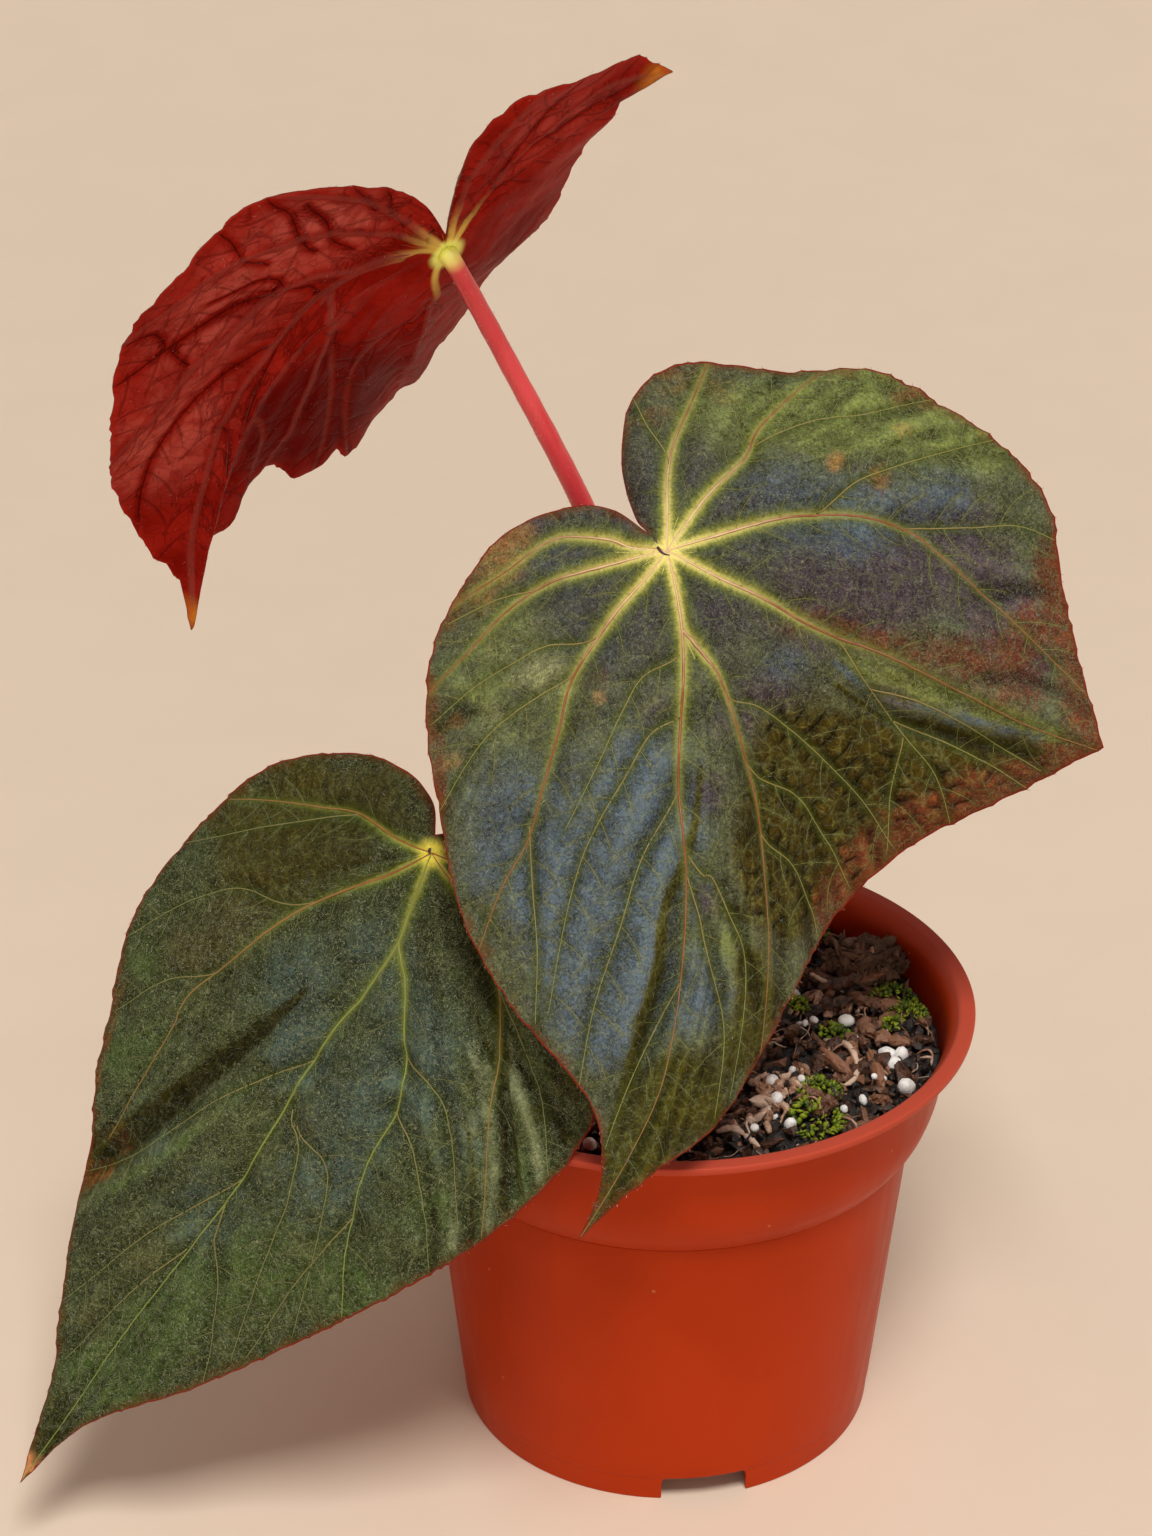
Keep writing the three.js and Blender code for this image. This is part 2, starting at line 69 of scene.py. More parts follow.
# Pot: radii and heights in millimetres, each outline corner with the radius that rounds it
POT_OUTSIDE = [
    (0, 4.9, 0), (35.4, 4.9, 0.3), (35.4, 0, 0.25), (36.5, 0, 0.3), (36.85, 4.6, 0.2), (37.05, 4.9, 0.2),
    (42.35, 56.7, 0.12), (41.9, 57.1, 0.12), (43.2, 57.5, 0.2), (45.3, 60.4, 2.0), (46.9, 65, 3.0),
    (48.8, 78.4, 0.5), (52.3, 78.5, 0.35), (52.5, 80, 0.45), (49.8, 80, 0.5),
]
POT_INSIDE = [
    (47.7, 77, 1.5), (46.5, 68, 5), (45.2, 63.8, 3), (43.1, 59.8, 1.5), (41.3, 57.3, 0.8), (35.9, 6.3, 1),
    (0, 6.3, 0),
]
# The pot's columns, the step that splits its long stretches, where the lip's painted highlight starts,
# and the angle in degrees from which an edge shows as sharp
POT_COLUMNS, POT_STEP = 240, 6.0
LIP_LEVEL, SHARP_ANGLE = 78, 50
# The notches in the foot ring, the first one's heading in degrees and the radii between which they cut, and
# the drain holes on their ring
NOTCH = {"count": 3, "width": 15, "height": 4.7, "round": 1.3, "first": -80.5, "reach": (30, 42)}
DRAIN = {"count": 8, "radius": 3.5, "ring": 23, "sides": 32}

# Soil: its level at the wall and how far it rises in the middle, the height of its broad and its smaller
# lumps, the radii of its top's edge and of the collar, and by height the radius that the wall leaves free
SOIL = {"wall_level": 71, "crown": 2.6, "roughness": 0.8, "fine": 0.6, "edge": 46.7, "collar": 48.8,
        "wall": ([57.3, 59.8, 63.8, 68, 77], [41.0, 42.8, 44.9, 46.2, 47.3])}
# Perlite grains: place, size and how long each is for its width
PERLITE = [
    (30.7, 2.3, 1.3, 1.3), (25, 1.6, 0.8, 1.3), (23.4, 0, 0.65, 1.1), (37.2, -7.3, 1.5, 1.2),
    (39.6, -7, 1.3, 1.1), (38.1, -11, 1.3, 1.2), (34.3, -15.5, 0.6, 1), (35.9, -15.5, 0.6, 1),
    (39.5, -18.6, 1.5, 1.5), (32.1, -20.4, 0.8, 2.0), (28.7, -23.5, 0.7, 1), (20.5, -13.4, 0.7, 1.1),
    (21.8, -17.1, 0.7, 1.1), (16.8, -18.5, 1.2, 1.6), (17.4, -22.6, 1.1, 1.6), (19.3, -29.5, 1.1, 1.6),
    (13.2, -32.4, 0.8, 1.4), (21.9, 10.8, 1.6, 1.3), (31.8, -4.5, 0.8, 2.0), (11, 2, 1.2, 1.1),
    (-22, -24, 1.5, 1.1), (-30, 12, 1.3, 1.2), (6, 33, 1.5, 1.1), (-8, 30, 1.2, 1.1), (-14, -36, 1.2, 1.2),
]
# The largest bark chips: place and heading in degrees
BIG_CHIPS = [
    (35, 9, -30), (30, 12, -10), (27, 7, 10), (26, -10, 60), (36, -3, -40), (33, -13, 20), (24, -22, -60),
    (11, -31, -25), (-18, -18, 40), (-30, 4, 80), (2, 30, 10), (14, 36, -20), (22, 24, 30),
]
# Rootlets: points with their lift over the soil, and a radius
ROOTLETS = [
    ([(26.5, -3.5, 0.6), (28.6, -5, 1.6), (30.6, -9, 1.8), (31.6, -13, 1.4), (30.4, -16.5, 0.8),
      (28, -17, 0.3)], 0.55),
    ([(24.5, 21, 0.4), (25.5, 17, 1.6), (28, 13, 1.6), (31, 11.5, 0.4)], 0.4),
    ([(7, -31, 0.5), (10, -32.5, 1.4), (14, -35.5, 0.8)], 0.6),
    ([(-25, -12, 0.5), (-28, -20, 1.8), (-22, -28, 0.6)], 0.5),
]
# Moss: place, reach and height of each cushion
MOSS = [
    (24.8, -18.6, 3.6, 1.6), (24.2, -27, 4.6, 2.0), (22, 6.8, 2.6, 1.8), (28.7, -1.3, 2.8, 1.6),
    (39.5, 12, 4.0, 3.0), (42, 6.5, 3.6, 2.6), (38, 2, 2.4, 1.4), (-30, -20, 5, 2.0), (-12, 36, 5, 2.4),
    (26, 33, 4, 2.0),
]
# How far a grain's middle lies over the soil, for its size
GRAIN_LIFT = 0.3
# Patches of pale bark flakes: place, reach and count
TAN_PATCHES = [(17, -19, 4, 16), (17, -24, 4, 12), (21, -16, 4, 8), (30, 9, 5, 8), (12, -29, 4, 8)]
# The big lump of old bark
CLUMP = {"middle": (35.5, 19.5, 73.8), "reach": (7.0, 5.2, 4.2)}
# Peat and bark: the dark, the pale and the flecks' colour, the patches' size and the roughness
EARTHS = {
    "dark_earth": ((0.004, 0.003, 0.002), (0.018, 0.010, 0.006), (0.05, 0.026, 0.014), 1.8, 0.42),
    "brown_bark": ((0.014, 0.005, 0.002), (0.105, 0.040, 0.016), (0.36, 0.16, 0.08), 1.4, 0.34),
    "tan_bark_skin": ((0.20, 0.08, 0.04), (0.56, 0.30, 0.17), (0.82, 0.62, 0.46), 1.1, 0.42),
    "old_bark": ((0.045, 0.022, 0.008), (0.13, 0.065, 0.028), (0.22, 0.11, 0.06), 1.6, 0.75),
}
STEM_SKINS = {
    "stem_skin": ((0.07, 0.035, 0.02), (0.2, 0.105, 0.05), (0.3, 0.1, 0.07), 2.0, 0.7),
    "scale_skin": ((0.16, 0.09, 0.05), (0.33, 0.2, 0.12), (0.4, 0.26, 0.17), 1.2, 0.7),
}
# Creeping stem: its two ends, the bow of its middle and its radius
STEM_FROM = np.array([-13, -7, 74.0])
STEM_TO = np.array([17, 11, 74.4])
STEM_BOW = np.array([1.5, -2, 0.4])
STEM_RADIUS = 5
STEM_SCALES = 26
# Stalks: their radius, how much they thin towards the head, how far the foot and the head swell, and how
# many hairs grow on a millimetre
STALK = {"radius": 2.0, "taper": 0.55, "foot": 1.2, "head": 0.25, "hairs": 4}

# Leaf grid: the rings that lie closer together just inside the margin, as shares of the spoke
EDGE_RINGS = [0.982, 0.991, 0.9965, 1]
RIM_SHARE = 0.972
# The solids' own count of spokes, the height of the swell between their ribs, the spokes that a panel needs
# for all of it, and the height and number of the margin's ruffles
CAD_SPOKES = 88
PLEAT, FULL_PANEL, RUFFLE, RUFFLES = 1.3, 8, 0.9, 11
# Half the blade's thickness, well inside and at the margin
HALF_THICK, HALF_THICK_EDGE = 0.26, 0.1
# How far from the junction the pale halos of the main and the side veins fade
HALO_FADE = {1: 37, 2: 130}

# Each leaf repeats the solid's junction, plane, margin and fan. grid is its count of spokes and rings. Its
# veins are paths over the fan, as thousandths round the margin and hundredths out along the spoke there.
# side_veins gives the gap and reach of the smaller veins that grow from them. A fold is a path with the
# height and width of the ridge or valley that it makes. creases gives the places round the margin with
# the deepest small pleats. wrinkles are ladders of small ridges across the veins, strongest in one zone.
# Zones are soft discs in the blade's plane, as x, y, radius and strength. A stripe adds to one of the zones
# along a path, with its width at both ends and its strength. tips names the margin's corners that have a
# coloured tip. depths scales, by a vein's rank, its groove above and its rib below. pleats is how deep the
# small pleats are all over, panels how far the panels between the ribs swell, halo how strong the pale
# halos are and scallop how deep the margin's waves are. seam is the line where the lobes meet, drawn as a
# dark tube of painted shade. tint gives distances from the junction and how far a main vein has changed its
# colour there. lime names the main veins that are green all along.
LEAVES = {
    "centre": {
        "junction": (-2, -12, 170), "turn": 0, "tip": 56, "bow": 0.1, "starts": [135, 290, 339, 495],
        "arcs": [
            [(-3, 3, 0), (-9, 7, -1), (-17, 7, -2), (-26, 3, -3), (-33, -6, -4), (-37, -15, -5),
             (-38, -26, -5), (-36, -40, -5), (-32, -58, -5), (-24, -72, -5), (-12, -87, -4),
             (-10.5, -99, -4), (-14, -108, -5)],
            [(-14, -108, -5), (-4, -99, -6), (7, -91, -9), (14, -81, -13), (20, -70, -17), (28, -56, -21),
             (40, -45, -22), (54, -38, -18), (70, -30, -10)],
            [(70, -30, -10), (67, -18, -11), (64, -3, -12), (62, 9, -12), (55, 19, -12), (45, 26, -12),
             (34, 31, -11), (20, 31, -10), (4, 32, -8), (-5, 26, -6), (-7, 15, -4), (-5, 6, -2),
             (-3, 3, 0)],
        ],
        "fan": [
            [(150, 158, 0), (177, 170, 1), (208, 190, 1), (246, 227, 1)],
            [(283, 303, 1)],
            [(359, 375, 1), (410, 417, 1), (439, 446, 1), (461, 457, 0), (475, 465, 0), (488, 482, 0)],
        ],
        "route": [(4, -1, 81), (3.5, 0, 98), (2, 0, 120), (0.5, -1, 142), (-1.2, -4.5, 160)],
        "primaries": [
            [(77, 0), (77, 14), (57, 33), (57, 54), (63, 68), (86, 78), (96, 100)],
            [(127, 0), (118, 28), (113, 48), (120, 64), (129, 79), (131, 100)],
            [(255, 0), (237, 14), (234, 25), (234, 35), (244, 45), (248, 58), (248, 69), (240, 82),
             (232, 100)],
            [(350, 0), (346, 12), (337, 26), (336, 37), (346, 49), (356, 64), (370, 80), (366, 90),
             (358, 100)],
            [(347, 12), (400, 18), (437, 25), (448, 38), (457, 52), (457, 66), (460, 80), (460, 100)],
            [(625, 0), (636, 20), (631, 35), (641, 50), (643, 68), (644, 85), (650, 100)],
            [(737, 0), (747, 22), (745, 40), (731, 60), (712, 71), (698, 80), (673, 100)],
            [(850, 0), (858, 24), (851, 45), (861, 62), (861, 81), (858, 100)],
            [(911, 0), (918, 30), (915, 52), (907, 73), (904, 100)],
        ],
        "secondaries": [
            [(632, 43), (612, 54), (602, 66), (597, 75), (594, 86), (584, 100)],
            [(731, 61), (735, 78), (739, 90), (736, 100)],
            [(747, 40), (768, 53), (775, 66), (784, 100)],
            [(854, 55), (833, 70), (819, 80), (813, 100)],
            [(916, 46), (934, 73), (940, 100)],
            [(114, 54), (107, 71), (105, 96)],
            [(247, 66), (257, 75), (266, 85), (270, 98)],
            [(234, 34), (213, 46), (195, 60), (183, 75), (176, 100)],
            [(232, 25), (183, 42), (163, 60), (151, 78), (144, 98)],
            [(339, 16), (300, 23), (287, 31), (278, 44), (268, 60)],
            [(336, 26), (312, 32), (298, 42), (285, 55), (279, 68), (276, 94)],
            [(337, 37), (316, 52), (307, 68), (299, 84), (296, 100)],
            [(346, 46), (374, 50), (403, 60), (429, 74), (434, 98)],
            [(347, 49), (367, 56), (398, 70), (416, 82), (424, 98)],
            [(355, 63), (345, 72), (335, 83), (326, 98)],
            [(440, 28), (500, 40), (535, 56), (555, 78), (560, 98)],
            [(450, 42), (511, 64), (529, 82), (536, 98)],
            [(457, 57), (494, 74), (509, 90), (513, 99)],
            [(600, 68), (610, 78), (616, 90), (618, 100)],
            [(607, 58), (620, 66), (626, 78), (628, 98)],
            [(598, 73), (572, 85), (556, 98)],
        ],
        "folds": [
            ([(596, 58), (606, 70), (618, 79), (630, 90), (634, 98)], -2.3, 2.4),
            ([(612, 54), (622, 70), (630, 82), (640, 96)], 1.2, 2.4),
            ([(648, 40), (649, 60), (650, 80), (650, 97)], 0.8, 2.2),
            ([(700, 76), (710, 88), (716, 99)], -1.3, 1.7),
            ([(655, 70), (666, 82), (674, 98)], -0.8, 1.5),
            ([(864, 84), (858, 93), (845, 99)], 1.2, 1.8),
            ([(826, 80), (817, 91), (808, 99)], 1.3, 1.8),
            ([(806, 78), (799, 92), (794, 99)], 1.2, 1.7),
            ([(782, 76), (785, 90), (783, 99)], 1.2, 1.8),
            ([(176, 68), (158, 82), (146, 98)], -1.5, 2.4),
            ([(336, 36), (320, 50), (308, 62)], -0.9, 1.8),
            ([(247, 36), (253, 50), (256, 62)], -0.7, 1.8),
            ([(249, 68), (258, 76), (262, 86)], -0.9, 1.5),
            ([(343, 52), (344, 64), (341, 76), (340, 90)], -2.2, 2.3),
            ([(330, 60), (326, 74), (324, 90)], 0.9, 2.8),
            ([(400, 56), (428, 72), (449, 86), (447, 96)], -1.5, 1.9),
            ([(380, 56), (410, 76), (410, 90)], -1.3, 1.6),
            ([(362, 60), (372, 74), (380, 88)], 0.8, 2.0),
            ([(458, 70), (462, 84), (460, 97)], 1.0, 1.8),
            ([(316, 84), (315, 92), (313, 99)], -1.0, 1.6),
            ([(440, 40), (450, 56), (446, 70)], -1.1, 1.8),
        ],
        "creases": [(515, 95, 0.9), (400, 40, 0.8), (300, 22, 0.4), (190, 26, 0.4), (690, 36, 0.4),
                    (830, 60, 0.6)],
        "wrinkles": {"zone": "olive_and_painted_shade", "height": 0.75, "everywhere": 0.07, "wave": 4.4},
        "zones": {
            "blue": [(-7, -52, 11, 1), (-4, -34, 8, 0.8), (-1, -44, 7, 0.8), (-11, -65, 9, 1),
                     (-9, -74, 8, 1), (5, -70, 6, 0.9), (-17, -55, 8, 0.7), (-23, -39, 9, 0.7),
                     (-26, -50, 7, 0.6), (-17, -1, 7, 0.7), (-11, -14, 7, 0.6), (16, 8, 8, 0.8),
                     (30, 6, 8, 0.9), (45, 10, 6, 0.7), (36, -23, 3, 0.6), (46, -26, 3, 0.7),
                     (54, -29, 3, 0.6), (19, -17, 5, 0.6), (0, 12, 5, 0.5)],
            "violet_and_painted_light": [(-23, 4, 7, 0.9), (9, -8, 5, 0.8), (37, -1, 9, 1), (47, 6, 7, 0.7), (53, -7, 8, 1),
                       (30, -8, 8, 0.9), (5, -39, 4, 0.9), (5, -55, 4, 0.8), (12, -26, 6, 0.8),
                       (-2, -25, 4, 0.5), (22, -6, 8, 0.8), (18, -22, 5, 0.7), (-10, 14, 4, 0.5),
                       (57, -17, 6, 0.8)],
            "gold": [(-26.4, -1, 4, 1.0), (-23, 2.5, 3, 0.8), (-29, -7, 2.5, 0.8), (27, 15, 2, 0.8),
                     (34, 13, 2, 0.7), (43, 27, 3, 0.5), (-3, 22, 2.5, 0.6), (2, 28, 3, 0.5),
                     (-11, -23, 1.5, 0.6), (38, 21, 2, 0.5), (-33, -26, 2, 0.7), (-34, -33, 2.5, 0.5)],
            "silver_and_sheen": [(-16.6, -20.4, 4, 0.9), (-22, -18, 4, 0.6), (-10, -31, 3, 0.5), (-27, -27, 4, 0.5),
                       (12, -15, 3, 0.5), (-31, -45, 4, 0.4)],
            "rust": [(54, -17, 7, 0.7), (60, -10, 5, 0.6), (27, 15, 2.5, 0.5), (34, 13, 2.5, 0.5),
                     (43, 28, 4, 0.6), (38, 27, 3, 0.5), (20, -11, 4, 0.6), (-31, -8, 3, 0.5),
                     (8, 28, 5, 0.4), (-1, 22, 4, 0.4), (-11, -20, 3, 0.5), (3, -90, 4, 0.4),
                     (45, -42, 6, 0.5), (-26, -1, 4, 0.6), (-23, 3, 3, 0.5), (37, -22, 4, 0.4)],
            "leafy": [(6, 23, 6, 0.8), (15, 21, 7, 1), (25, 22, 8, 1), (35, 26, 7, 1), (44, 22, 8, 1),
                      (53, 18, 5, 0.7), (-24, -12, 8, 0.5), (-30, -22, 5, 0.5), (10, -62, 4, 0.6),
                      (-24, -30, 6, 0.4), (2, -20, 6, 0.4), (-17, -20, 4, 0.7)],
            "olive_and_painted_shade": [(19, -29, 7, 0.7), (28, -32, 8, 1), (21, -39, 8, 1), (31, -38, 9, 1), (39, -36, 8, 1),
                      (48, -34, 6, 1), (15, -47, 6, 0.8), (25, -46, 9, 1), (57, -31, 5, 0.7),
                      (18, -56, 6, 0.9)],
            "deep": [(-4, -85, 4, 1), (2, -82, 4, 0.9), (12, -78, 4, 1), (-3, -93, 5, 1), (-8, -99, 6, 1),
                     (5, -87, 6, 1), (15, -70, 4, 0.9), (-12, -105, 5, 1), (10, -57, 2.5, 0.8),
                     (13, -65, 3, 0.9), (14, -73, 3, 0.9), (20, -58, 4, 0.7)],
        },
        # The deep stripes lie along the valleys of folds: painted shade
        "stripes": [
            ("leafy", [(634, 34), (622, 50), (627, 60), (635, 70), (641, 80), (646, 92)], (1.5, 1.9), 1.2),
            ("blue", [(606, 48), (606, 60), (618, 69), (631, 79), (641, 90)], (0.8, 1.0), 0.9),
            ("deep", [(590, 54), (597, 66), (614, 74), (625, 84), (634, 93)], (0.5, 1.3), 1.1),
            ("rust", [(524, 97), (555, 95), (578, 95), (600, 96), (618, 97), (640, 99)], (5, 4.5), 1.1),
            ("rust", [(652, 98), (672, 97), (692, 97), (730, 99)], (4.5, 4), 0.8),
            ("rust", [(646, 34), (655, 54), (662, 66), (664, 82)], (2, 5.5), 0.7),
            ("rust", [(128, 98), (140, 96), (160, 96), (176, 98)], (1.4, 1.8), 0.7),
            ("rust", [(70, 96), (88, 94), (104, 96)], (1.6, 1.6), 0.6),
            ("deep", [(352, 33), (347, 44), (335, 56), (336, 66), (333, 76), (333, 86),
                      (336, 94)], (0.6, 1.7), 1.1),
            ("deep", [(168, 74), (156, 84), (149, 94)], (0.5, 1.2), 0.8),
            ("leafy", [(850, 50), (866, 70), (865, 86)], (1.6, 2.4), 0.9),
            ("leafy", [(800, 60), (798, 74), (790, 90)], (1.4, 2.0), 0.8),
        ],
        "tips": (),
        "depths": {1: (1, 1), 2: (1.2, 1), 3: (1.4, 1)},
        "pleats": 0.16,
        "panels": 1,
        "halo": 1.02,
        "scallop": 0.5,
        "seam": [(-1.9, 2.2, 0.2), (-1.6, 1.1, 0.3), (-1.1, 0.1, 0.33), (-0.4, -0.5, 0.33),
                 (0.5, -0.7, 0.3)],
        "tint": ([0, 9, 24, 100], [0.0, 0.1, 0.4, 0.6]),
        "side_veins": (6.0, 8),
        "grid": (400, 96),
    },
    "left": {
        "junction": (-39.4, -26, 123.2), "turn": -21, "tip": 63.5, "bow": 0.5,
        "starts": [90, 254, 314, 450],
        "arcs": [
            [(0, 3, 0), (-2, 8, -2), (-8, 12, -4), (-19, 13, -6), (-34, 8, -8), (-47, -6, -9),
             (-55, -24, -9), (-56, -41, -8), (-55, -57, -7), (-56, -68, -7), (-55, -84, -6),
             (-55, -101, -5), (-57, -118, -4)],
            [(-57, -118, -4), (-47, -106, -5), (-28, -95, -6), (-5, -79, -5), (9, -68, -4), (20, -58, -4),
             (29, -46, -5)],
            [(29, -46, -5), (32, -36, -8), (32, -25, -11), (29, -13, -13), (23, -2, -12), (16, 4, -9),
             (9, 6, -5), (3, 4, -2), (0, 3, 0)],
        ],
        "fan": [
            [(105, 112, 0), (124, 134, 0), (168, 172, 1), (203, 197, 1), (227, 206, 1)],
            [(267, 269, 1), (286, 298, 1)],
            [(322, 334, 1), (374, 368, 1), (395, 384, 0), (413, 402, 0)],
        ],
        "route": [(-7, -4.5, 80.5), (-10, -5.5, 92), (-18, -9, 107), (-29, -15, 116.5)],
        "primaries": [
            [(126, 0), (118, 18), (108, 36), (110, 50), (122, 64), (138, 98)],
            [(357, 0), (320, 16), (288, 32), (291, 50), (288, 68), (306, 74), (330, 92)],
            [(520, 0), (501, 7), (530, 14), (478, 21), (464, 32), (471, 48), (468, 66), (468, 80),
             (478, 100)],
            [(530, 14), (600, 20), (646, 28), (668, 43), (669, 56), (652, 65), (649, 78), (660, 99)],
            [(787, 0), (793, 20), (778, 43), (762, 58), (748, 71), (738, 99)],
            [(900, 0), (890, 30), (872, 60), (865, 98)],
        ],
        "secondaries": [
            [(669, 56), (689, 67), (702, 84), (707, 99)],
            [(669, 44), (700, 54), (716, 66), (724, 92)],
            [(648, 76), (632, 80), (616, 86), (603, 98)],
            [(778, 41), (787, 60), (788, 78), (780, 98)],
            [(287, 31), (218, 56), (208, 76), (220, 100)],
            [(289, 60), (262, 78), (257, 98)],
            [(464, 32), (435, 40), (405, 52), (385, 64), (366, 78), (331, 100)],
            [(474, 38), (544, 49), (571, 60), (580, 70), (594, 97)],
            [(471, 50), (443, 63), (420, 76), (391, 100)],
            [(470, 54), (540, 72), (571, 88), (583, 100)],
            [(466, 63), (447, 76), (428, 96)],
            [(520, 44), (600, 58), (622, 74), (630, 98)],
            [(110, 46), (140, 60), (160, 82), (168, 99)],
        ],
        "folds": [
            ([(408, 30), (392, 42), (376, 56), (360, 71), (343, 86), (333, 99)], -3.0, 3.1),
            ([(420, 46), (398, 62), (372, 80), (350, 96)], 1.0, 2.2),
            ([(300, 20), (285, 38), (300, 58)], 0.8, 3.0),
            ([(766, 10), (764, 28), (771, 50), (762, 66)], -1.9, 2.0),
            ([(785, 14), (792, 34), (790, 56)], 0.9, 2.2),
            ([(742, 36), (757, 60), (757, 80), (752, 99)], -1.3, 1.7),
            ([(765, 54), (788, 77), (796, 96)], -1.2, 1.7),
            ([(700, 30), (711, 54), (713, 76), (712, 97)], -0.8, 1.6),
            ([(728, 50), (734, 72), (733, 96)], 0.9, 1.7),
            ([(774, 62), (776, 80), (778, 97)], 0.9, 1.6),
            ([(672, 46), (697, 66), (706, 84), (710, 97)], -0.7, 1.6),
            ([(190, 30), (205, 50), (222, 70)], 0.7, 4.0),
            ([(465, 84), (459, 92), (452, 99)], -0.6, 1.3),
            ([(488, 84), (494, 92), (500, 99)], -0.6, 1.3),
        ],
        "creases": [(760, 60, 0.8), (500, 60, 0.4), (350, 60, 0.4), (840, 40, 0.5)],
        "wrinkles": {"zone": "deep", "height": 0.35, "everywhere": 0.10, "wave": 4.0},
        "zones": {
            "blue": [(-6, -17, 6, 1), (-20, -25, 8, 0.8), (-3, -41, 8, 0.7), (2, -27, 7, 0.8),
                     (-10, -56, 9, 0.8), (-18, -37, 6, 0.9), (12, -45, 6, 0.5), (-31, -66, 8, 0.7),
                     (5, -35, 6, 0.7), (-44, -54, 6, 0.6)],
            "violet_and_painted_light": [(-40, -24, 9, 0.8), (-30, -14, 7, 0.7), (-14, -48, 6, 0.5), (1, -45, 4, 0.5),
                       (-40, -75, 7, 0.6), (-8, -80, 5, 0.5), (-48, -88, 5, 0.6), (-30, -50, 6, 0.4)],
            "silver_and_sheen": [(17, -34, 3.5, 0.9), (13, -43, 3, 0.6), (19, -48, 2.5, 0.6)],
            "rust": [(-49, -58, 4, 0.5), (-54, -33, 2.5, 0.4)],
            "leafy": [(-30, -77, 8, 0.7), (-20, -73, 8, 0.8), (-4, -73, 8, 0.9), (8, -57, 6, 0.6),
                      (-42, -95, 8, 1), (-36, -85, 7, 0.8), (-50, -27, 5, 0.7), (-46, -40, 6, 0.6),
                      (22, -48, 6, 0.6), (-52, -44, 4, 0.8), (-50, -100, 6, 0.9)],
            "olive_and_painted_shade": [(-26, 4, 9, 1), (-11, 7, 6, 0.9), (-3, 3, 4, 0.5), (-16, -3, 7, 0.8),
                      (-32, -10, 8, 0.6), (-40, -2, 6, 0.6), (-24, -13, 5, 0.4), (26, -20, 5, 0.8),
                      (28, -32, 4, 0.6)],
            "deep": [(24, -38, 3, 0.7), (-51, -105, 5, 0.6), (-54, -111, 4, 0.6)],
        },
        # The deep stripes are the dark lines along the folds and pleats, painted shade, and the silver
        # stripes their pale lines, a painted sheen
        "stripes": [
            ("deep", [(404, 30), (392, 41), (375, 55), (359, 70), (345, 84), (334, 97)], (0.7, 4.0), 1.4),
            ("rust", [(352, 88), (342, 94), (334, 99)], (1.4, 2.4), 1.2),
            ("deep", [(770, 10), (768, 28), (772, 48), (762, 66)], (0.8, 1.5), 1.0),
            ("deep", [(744, 40), (757, 60), (757, 80), (752, 96)], (0.4, 1.1), 0.9),
            ("deep", [(776, 62), (789, 78), (796, 94)], (0.4, 1.2), 0.9),
            ("leafy", [(430, 40), (410, 56), (388, 72), (366, 88)], (0.8, 1.6), 0.7),
            ("silver_and_sheen", [(738, 50), (746, 64), (746, 80), (742, 97)], (0.9, 1.5), 0.7),
            ("silver_and_sheen", [(772, 52), (776, 66), (778, 82), (776, 97)], (0.8, 1.4), 0.7),
            ("silver_and_sheen", [(716, 60), (722, 78), (722, 97)], (0.6, 1.0), 0.8),
            ("silver_and_sheen", [(412, 34), (400, 44), (386, 55), (372, 66)], (0.4, 0.7), 0.6),
            ("deep", [(728, 58), (734, 76), (732, 97)], (0.3, 0.8), 0.9),
            ("deep", [(764, 40), (768, 60), (765, 80), (764, 97)], (0.3, 0.7), 0.9),
            ("deep", [(697, 70), (708, 86), (711, 98)], (0.3, 0.8), 0.8),
            ("rust", [(238, 99), (250, 98), (268, 98), (290, 99)], (1.2, 1.2), 0.6),
        ],
        "tips": (0,),
        "depths": {1: (1, 1), 2: (1.2, 1), 3: (1.4, 1)},
        "pleats": 0.16,
        "panels": 1,
        "halo": 0.85,
        "scallop": 0.45,
        "seam": [(-0.3, 0.9, 0.2), (-0.4, 0.3, 0.33), (-0.3, -0.3, 0.3)],
        "tint": ([0, 5, 20, 110], [0.0, 0.2, 0.45, 0.6]),
        "side_veins": (6.0, 8),
        "grid": (400, 96),
        "lime": (2, 3),
    },
    "young": {
        "junction": (-36.4, 3, 214.1), "turn": 214, "tip": 64, "bow": 0.72, "starts": [72, 10, -254, -288],
        "arcs": [
            [(1.5, 4.5, 0), (8, 13, -1), (19, 21, -2), (32, 23, -2), (43, 19, -2), (54, 7, -2),
             (56, -5, -1), (54, -30, 0), (44, -52, 1), (36, -63, 0), (34, -72, -4)],
            [(34, -72, -4), (32, -64, 0), (31, -58, 2), (25.5, -56, 3), (23.5, -51, 4), (20, -48, 5),
             (16, -50, 6), (12, -54.5, 7), (7, -54, 8), (4, -51.5, 9), (0, -55.5, 10), (-5, -53, 12),
             (-9, -51.5, 14), (-13, -50, 16), (-17, -50, 17), (-21, -46, 20), (-24, -42, 21),
             (-28, -31, 20), (-30, -16, 15), (-28, 2, 9), (-28, 19, 4), (-26, 26, 3), (-28, 29.5, 1),
             (-33, 30, 0)],
            [(-33, 30, 0), (-23, 36, -2), (-13, 37, -4), (-2, 36, -5), (3.4, 28, -4), (4.2, 16, -2),
             (1.5, 4.5, 0)],
        ],
        "fan": [
            [(58, 56, 0), (34, 46, 1), (-1, 39, 1), (-26, 35, 1), (-50, 30, 0)],
            [(-70, -6, 0), (-88, -30, 1), (-108, -70, 1), (-150, -140, 1), (-190, -200, 0),
             (-212, -243, 1)],
            [(-262, -270, 1), (-278, -281, 0)],
        ],
        "route": [(12, 8, 81), (8.5, 9.5, 100), (1.5, 10, 125), (-8, 10.5, 150), (-15.2, 10, 168.2),
